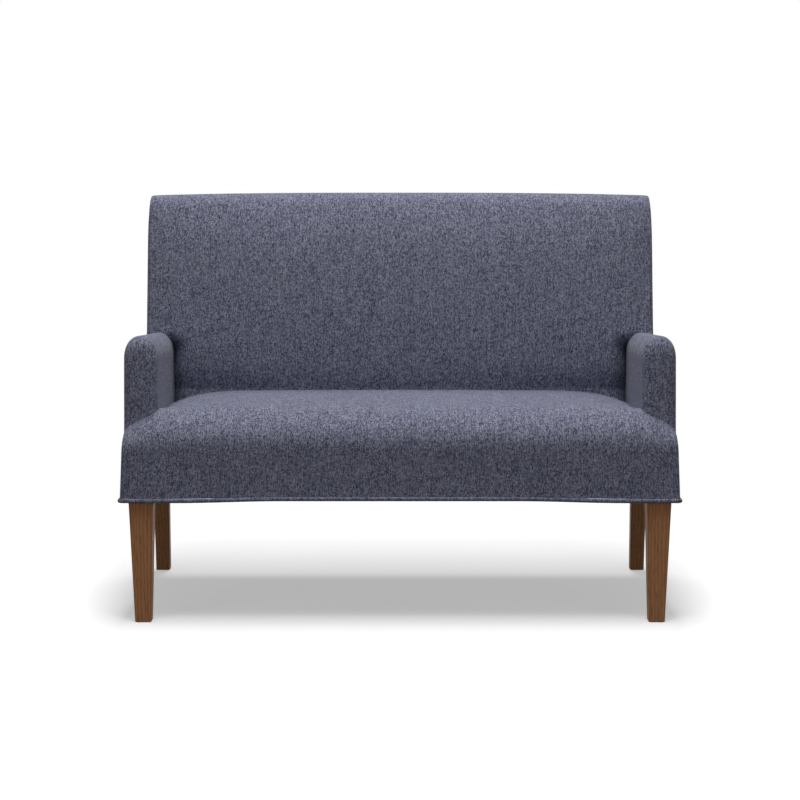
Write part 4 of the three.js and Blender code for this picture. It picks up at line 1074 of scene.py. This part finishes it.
def wood_material(name, wood, grain, roughness):
    """A wood of two colours, with its grain upright."""
    made, graph, shader = material(name, {"Specular IOR Level": 0.12})
    where = graph.add("ShaderNodeTexCoord")
    tree = bpy.data.node_groups.get("Wood grain") or grain_group()
    timber = graph.add("ShaderNodeGroup", {"node_tree": tree}, Vector=where.outputs["Object"],
                       Wood=opaque(wood), Grain=opaque(grain), Roughness=roughness)
    graph.set(shader, "Base Color", timber.outputs["Color"])
    graph.set(shader, "Roughness", timber.outputs["Roughness"])
    bump(graph, shader, timber.outputs["Height"], 0.25, 0.0003)
    return made


def plain_material(name, tone, scale, contrast, roughness=0.95, metallic=0.0):
    """A plain finish with a little tone from noise, for what lies inside."""
    made, graph, shader = material(name, {"Metallic": metallic})
    where = graph.add("ShaderNodeTexCoord")
    noise = graph.add("ShaderNodeTexNoise", Vector=where.outputs["Object"], Scale=scale, Detail=4.0)
    shade = tuple(channel * (1 - contrast) for channel in tone)
    graph.set(shader, "Base Color", graph.mix(noise.outputs[0], opaque(shade), opaque(tone)))
    graph.set(shader, "Roughness", graph.spread(noise.outputs[0], 0.3, 0.7, roughness - 0.08, roughness))
    bump(graph, shader, noise.outputs[0], 0.3, 0.0004)
    return made


def cloth_of(context):
    """The cover cloth, made once."""
    return bpy.data.materials.get("Heather cloth") or cloth_material(context.scene.settee_finish)


# Stage


def add_camera(context, studio):
    """The camera, in front of the middle and tilted down a little."""
    camera = bpy.data.objects.new("Camera", bpy.data.cameras.new("Camera"))
    camera.data.lens = studio.lens
    camera.data.sensor_width = SENSOR
    camera.data.clip_end = SIGHT
    camera.location = (0, FRONT_PLANE - studio.distance, studio.height)
    camera.rotation_euler = (QUARTER - studio.tilt, 0, 0)
    context.scene.collection.objects.link(camera)
    context.scene.camera = camera
    context.scene.view_settings.view_transform = "Standard"


def add_lamp(name, location, target, size, power):
    """A soft rectangular lamp that faces a target."""
    lamp = bpy.data.lights.new(name, "AREA")
    lamp.shape = "RECTANGLE"
    lamp.size, lamp.size_y = size
    lamp.energy = power
    placed = bpy.data.objects.new(name, lamp)
    placed.location = location
    placed.rotation_euler = (target - location).to_track_quat("-Z", "Y").to_euler()
    bpy.context.scene.collection.objects.link(placed)


def seen_directly(graph):
    """1 for what the camera, a reflection or clear glass sees, and 0 for light on its way."""
    path = graph.add("ShaderNodeLightPath")
    direct = graph.maths("MAXIMUM", path.outputs["Is Camera Ray"], path.outputs["Is Glossy Ray"])
    return graph.maths("MAXIMUM", direct, path.outputs["Is Transmission Ray"])


def add_floor(studio):
    """A pale floor that keeps the shadow near the settee and runs out to plain white."""
    mesh = bpy.data.meshes.new("Floor")
    corners = [(x * FLOOR_HALF, y * FLOOR_HALF, 0) for x, y in ((-1, -1), (1, -1), (1, 1), (-1, 1))]
    mesh.from_pydata(corners, [], [(0, 1, 2, 3)])
    floor = link("Floor", mesh)
    made, graph, shader = material("Pale floor", {"Roughness": 0.9, "Specular IOR Level": 0})
    seen = seen_directly(graph)
    where = graph.add("ShaderNodeTexCoord")
    reach = graph.add("ShaderNodeVectorMath", {"operation": "LENGTH"}, i0=where.outputs["Object"])
    fade = graph.spread(reach.outputs["Value"], studio.floor_near, studio.floor_far)
    far = graph.times(fade, seen)
    colours = [opaque([level] * 3) for level in (studio.floor_bounce, studio.floor_colour)]
    graph.set(shader, "Base Color", graph.mix(seen, *colours))
    strength = graph.times(seen, studio.floor_lift)
    lift = graph.add("ShaderNodeEmission", Color=(1, 1, 1, 1), Strength=strength)
    near = graph.add("ShaderNodeAddShader", i0=shader.outputs[0], i1=lift.outputs[0])
    white = graph.add("ShaderNodeEmission", Color=(1, 1, 1, 1), Strength=1.0)
    both = graph.add("ShaderNodeMixShader", i0=far, i1=near.outputs[0], i2=white.outputs[0])
    graph.set(made.node_tree.nodes["Material Output"], "Surface", both.outputs[0])
    mesh.materials.append(made)


def add_world(context, studio):
    """White to look at, and a little light from all round."""
    world = bpy.data.worlds.new("Studio")
    world.use_nodes = True
    graph = Graph(world.node_tree)
    background = world.node_tree.nodes["Background"]
    background.inputs["Color"].default_value = (1, 1, 1, 1)
    strength = graph.spread(seen_directly(graph), 0.0, 1.0, studio.ambient, 1.0)
    graph.set(background, "Strength", strength)
    context.scene.world = world


# Operators


def lines_of(context):
    """The lines that follow from the form's sizes, which they hold."""
    return Lines(context.scene.settee_form)


class SETTEE_OT_seat(Operator):
    """Upholsters the seat: crowned between the arms, with rounded ears in front of them and an apron"""

    bl_idname = "settee.seat"
    bl_label = "Seat"

    def execute(self, context):
        lines = lines_of(context)
        form = lines.form
        seat = seat_body("seat_upholstery", lines)
        rooms = [back_body("back_room", lines, -form.gap, -form.overrun), deck_room(lines)]
        for _, side in SIDES:
            rooms.append(arm_body("arm_room", lines, -form.gap, -form.overrun, side))
            rooms.append(arm_side_room(lines, side))
        carve(seat, *rooms)
        finish_piece(seat, cloth_of(context), "fabric", PADDING_FILL, "seat_cover", "seat_foam")
        return {"FINISHED"}


class SETTEE_OT_back(Operator):
    """Upholsters the back: a tight, softly swelling face with a rounded top and squared sides"""

    bl_idname = "settee.back"
    bl_label = "Back"

    def execute(self, context):
        lines = lines_of(context)
        form = lines.form
        back = back_body("back_upholstery", lines, 0.0, lines.bottom)
        rails = ["arm_top_rail_right", "arm_top_rail_left", "arm_tack_rail_right", "arm_tack_rail_left"]
        rooms = [back_frame_room(lines), back_low_room(lines), rear_panel_room(lines)]
        rooms += [room_round(rail, form.gap) for rail in rails]
        carve(back, *rooms)
        finish_piece(back, cloth_of(context), "fabric", PADDING_FILL, "back_cover", "back_foam")
        return {"FINISHED"}


class SETTEE_OT_rear_panel(Operator):
    """Stretches the flat fabric panel over the rear of the back"""

    bl_idname = "settee.rear_panel"
    bl_label = "Rear panel"

    def execute(self, context):
        panel, size = rear_panel(lines_of(context))
        finish_piece(panel, cloth_of(context), "fabric", None, "back_rear_panel")
        return {"FINISHED"}


class SETTEE_OT_arms(Operator):
    """Upholsters both arms: narrow, with half round tops and soft noses"""

    bl_idname = "settee.arms"
    bl_label = "Arms"

    def execute(self, context):
        lines = lines_of(context)
        form = lines.form
        for name, side in SIDES:
            arm = arm_body(f"arm_upholstery_{name}", lines, 0.0, lines.bottom, side)
            rooms = arm_rooms(lines, side) + [back_side_room(lines, side)]
            rooms.append(back_body("back_room", lines, -form.gap, -form.overrun))
            carve(arm, *rooms)
            nodes = [f"arm_{layer}_{name}" for layer in ("cover", "foam")]
            finish_piece(arm, cloth_of(context), "fabric", PADDING_FILL, *nodes)
        return {"FINISHED"}


class SETTEE_OT_hem(Operator):
    """Runs the covered cord along the lower edge all round"""

    bl_idname = "settee.hem"
    bl_label = "Hem"

    def execute(self, context):
        hem = hem_cord(lines_of(context))
        finish_piece(hem, cloth_of(context), "fabric", None, "hem_cord")
        return {"FINISHED"}


class SETTEE_OT_supports(Operator):
    """Lays the felt over the springs and stretches the dust cover under the frame"""

    bl_idname = "settee.supports"
    bl_label = "Supports"

    def execute(self, context):
        lines = lines_of(context)
        felt = plain_material("Felt", (0.05, 0.052, 0.06), scale=240.0, contrast=0.4)
        finish_piece(spring_felt(lines), felt, "felt", 1.0, "spring_pad")
        spun = plain_material("Dust cloth", (0.03, 0.031, 0.036), scale=300.0, contrast=0.4)
        dust, area = dust_cloth(lines.form)
        finish_piece(dust, spun, "felt", None, "dust_cover")
        return {"FINISHED"}


class SETTEE_OT_frame_finish(Operator):
    """Gives every CAD piece that stays its wood, steel, board, felt or webbing"""

    bl_idname = "settee.frame_finish"
    bl_label = "Frame finish"

    def execute(self, context):
        finish = context.scene.settee_finish
        made = {
            "hardwood": wood_material("Frame wood", finish.board, finish.board_dark, roughness=0.75),
            "leg_wood": wood_material("Leg wood", finish.leg, finish.leg_dark, roughness=0.5),
            "steel": plain_material("Spring steel", (0.3, 0.31, 0.33), scale=300.0, contrast=0.3,
                                    roughness=0.4, metallic=0.9),
            "felt": plain_material("Spun cloth", (0.04, 0.042, 0.05), scale=300.0, contrast=0.4),
            "webbing": plain_material("Webbing", (0.03, 0.03, 0.035), scale=500.0, contrast=0.5,
                                      roughness=0.9),
            "board": plain_material("Board", (0.27, 0.17, 0.08), scale=350.0, contrast=0.3, roughness=0.9),
            "foam": plain_material("Foam", (0.79, 0.72, 0.52), scale=700.0, contrast=0.15, roughness=1.0),
            "fabric": cloth_of(context),
        }
        for part in frame["record"]["subparts"]:
            node = frame["nodes"][part["node"]]
            node.data.materials.clear()
            node.data.materials.append(made[part["material_slot"]])
        return {"FINISHED"}


class SETTEE_OT_stage(Operator):
    """Sets the camera, the lamps and the pale floor"""

    bl_idname = "settee.stage"
    bl_label = "Stage"

    def execute(self, context):
        studio = context.scene.settee_studio
        add_camera(context, studio)
        add_floor(studio)
        add_world(context, studio)
        below = Vector((0, OVERHEAD_DEPTH, 0))
        above = Vector((0, OVERHEAD_DEPTH, studio.overhead_height))
        add_lamp("Overhead", above, below, OVERHEAD_SIZE, studio.overhead)
        add_lamp("Front", FRONT_PLACE, LAMP_AIM, FRONT_SIZE, studio.front)
        for name, side in SIDES:
            add_lamp(f"Side {name}", SIDE_PLACE * Vector((side, 1, 1)), LAMP_AIM, SIDE_SIZE, studio.side)
        return {"FINISHED"}


class SETTEE_PT_panel(Panel):
    """Lists the steps that make the settee"""

    bl_idname = "SETTEE_PT_panel"
    bl_label = "High back settee"
    bl_space_type = "VIEW_3D"
    bl_region_type = "UI"
    bl_category = "Settee"

    def draw(self, context):
        for step in STEPS:
            self.layout.operator(step.bl_idname)


STEPS = (
    SETTEE_OT_frame_finish,
    SETTEE_OT_supports,
    SETTEE_OT_seat,
    SETTEE_OT_back,
    SETTEE_OT_rear_panel,
    SETTEE_OT_arms,
    SETTEE_OT_hem,
    SETTEE_OT_stage,
)
CLASSES = (SetteeForm, SetteeFinish, SetteeStudio, *STEPS, SETTEE_PT_panel)


def register():
    for kind in CLASSES:
        bpy.utils.register_class(kind)
    bpy.types.Scene.settee_form = PointerProperty(type=SetteeForm)
    bpy.types.Scene.settee_finish = PointerProperty(type=SetteeFinish)
    bpy.types.Scene.settee_studio = PointerProperty(type=SetteeStudio)


def unregister():
    del bpy.types.Scene.settee_studio
    del bpy.types.Scene.settee_finish
    del bpy.types.Scene.settee_form
    for kind in reversed(CLASSES):
        bpy.utils.unregister_class(kind)


def main():
    """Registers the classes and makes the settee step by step."""
    register()
    for step in STEPS:
        category, name = step.bl_idname.split(".")
        getattr(getattr(bpy.ops, category), name)()


if __name__ == "__main__":
    main()
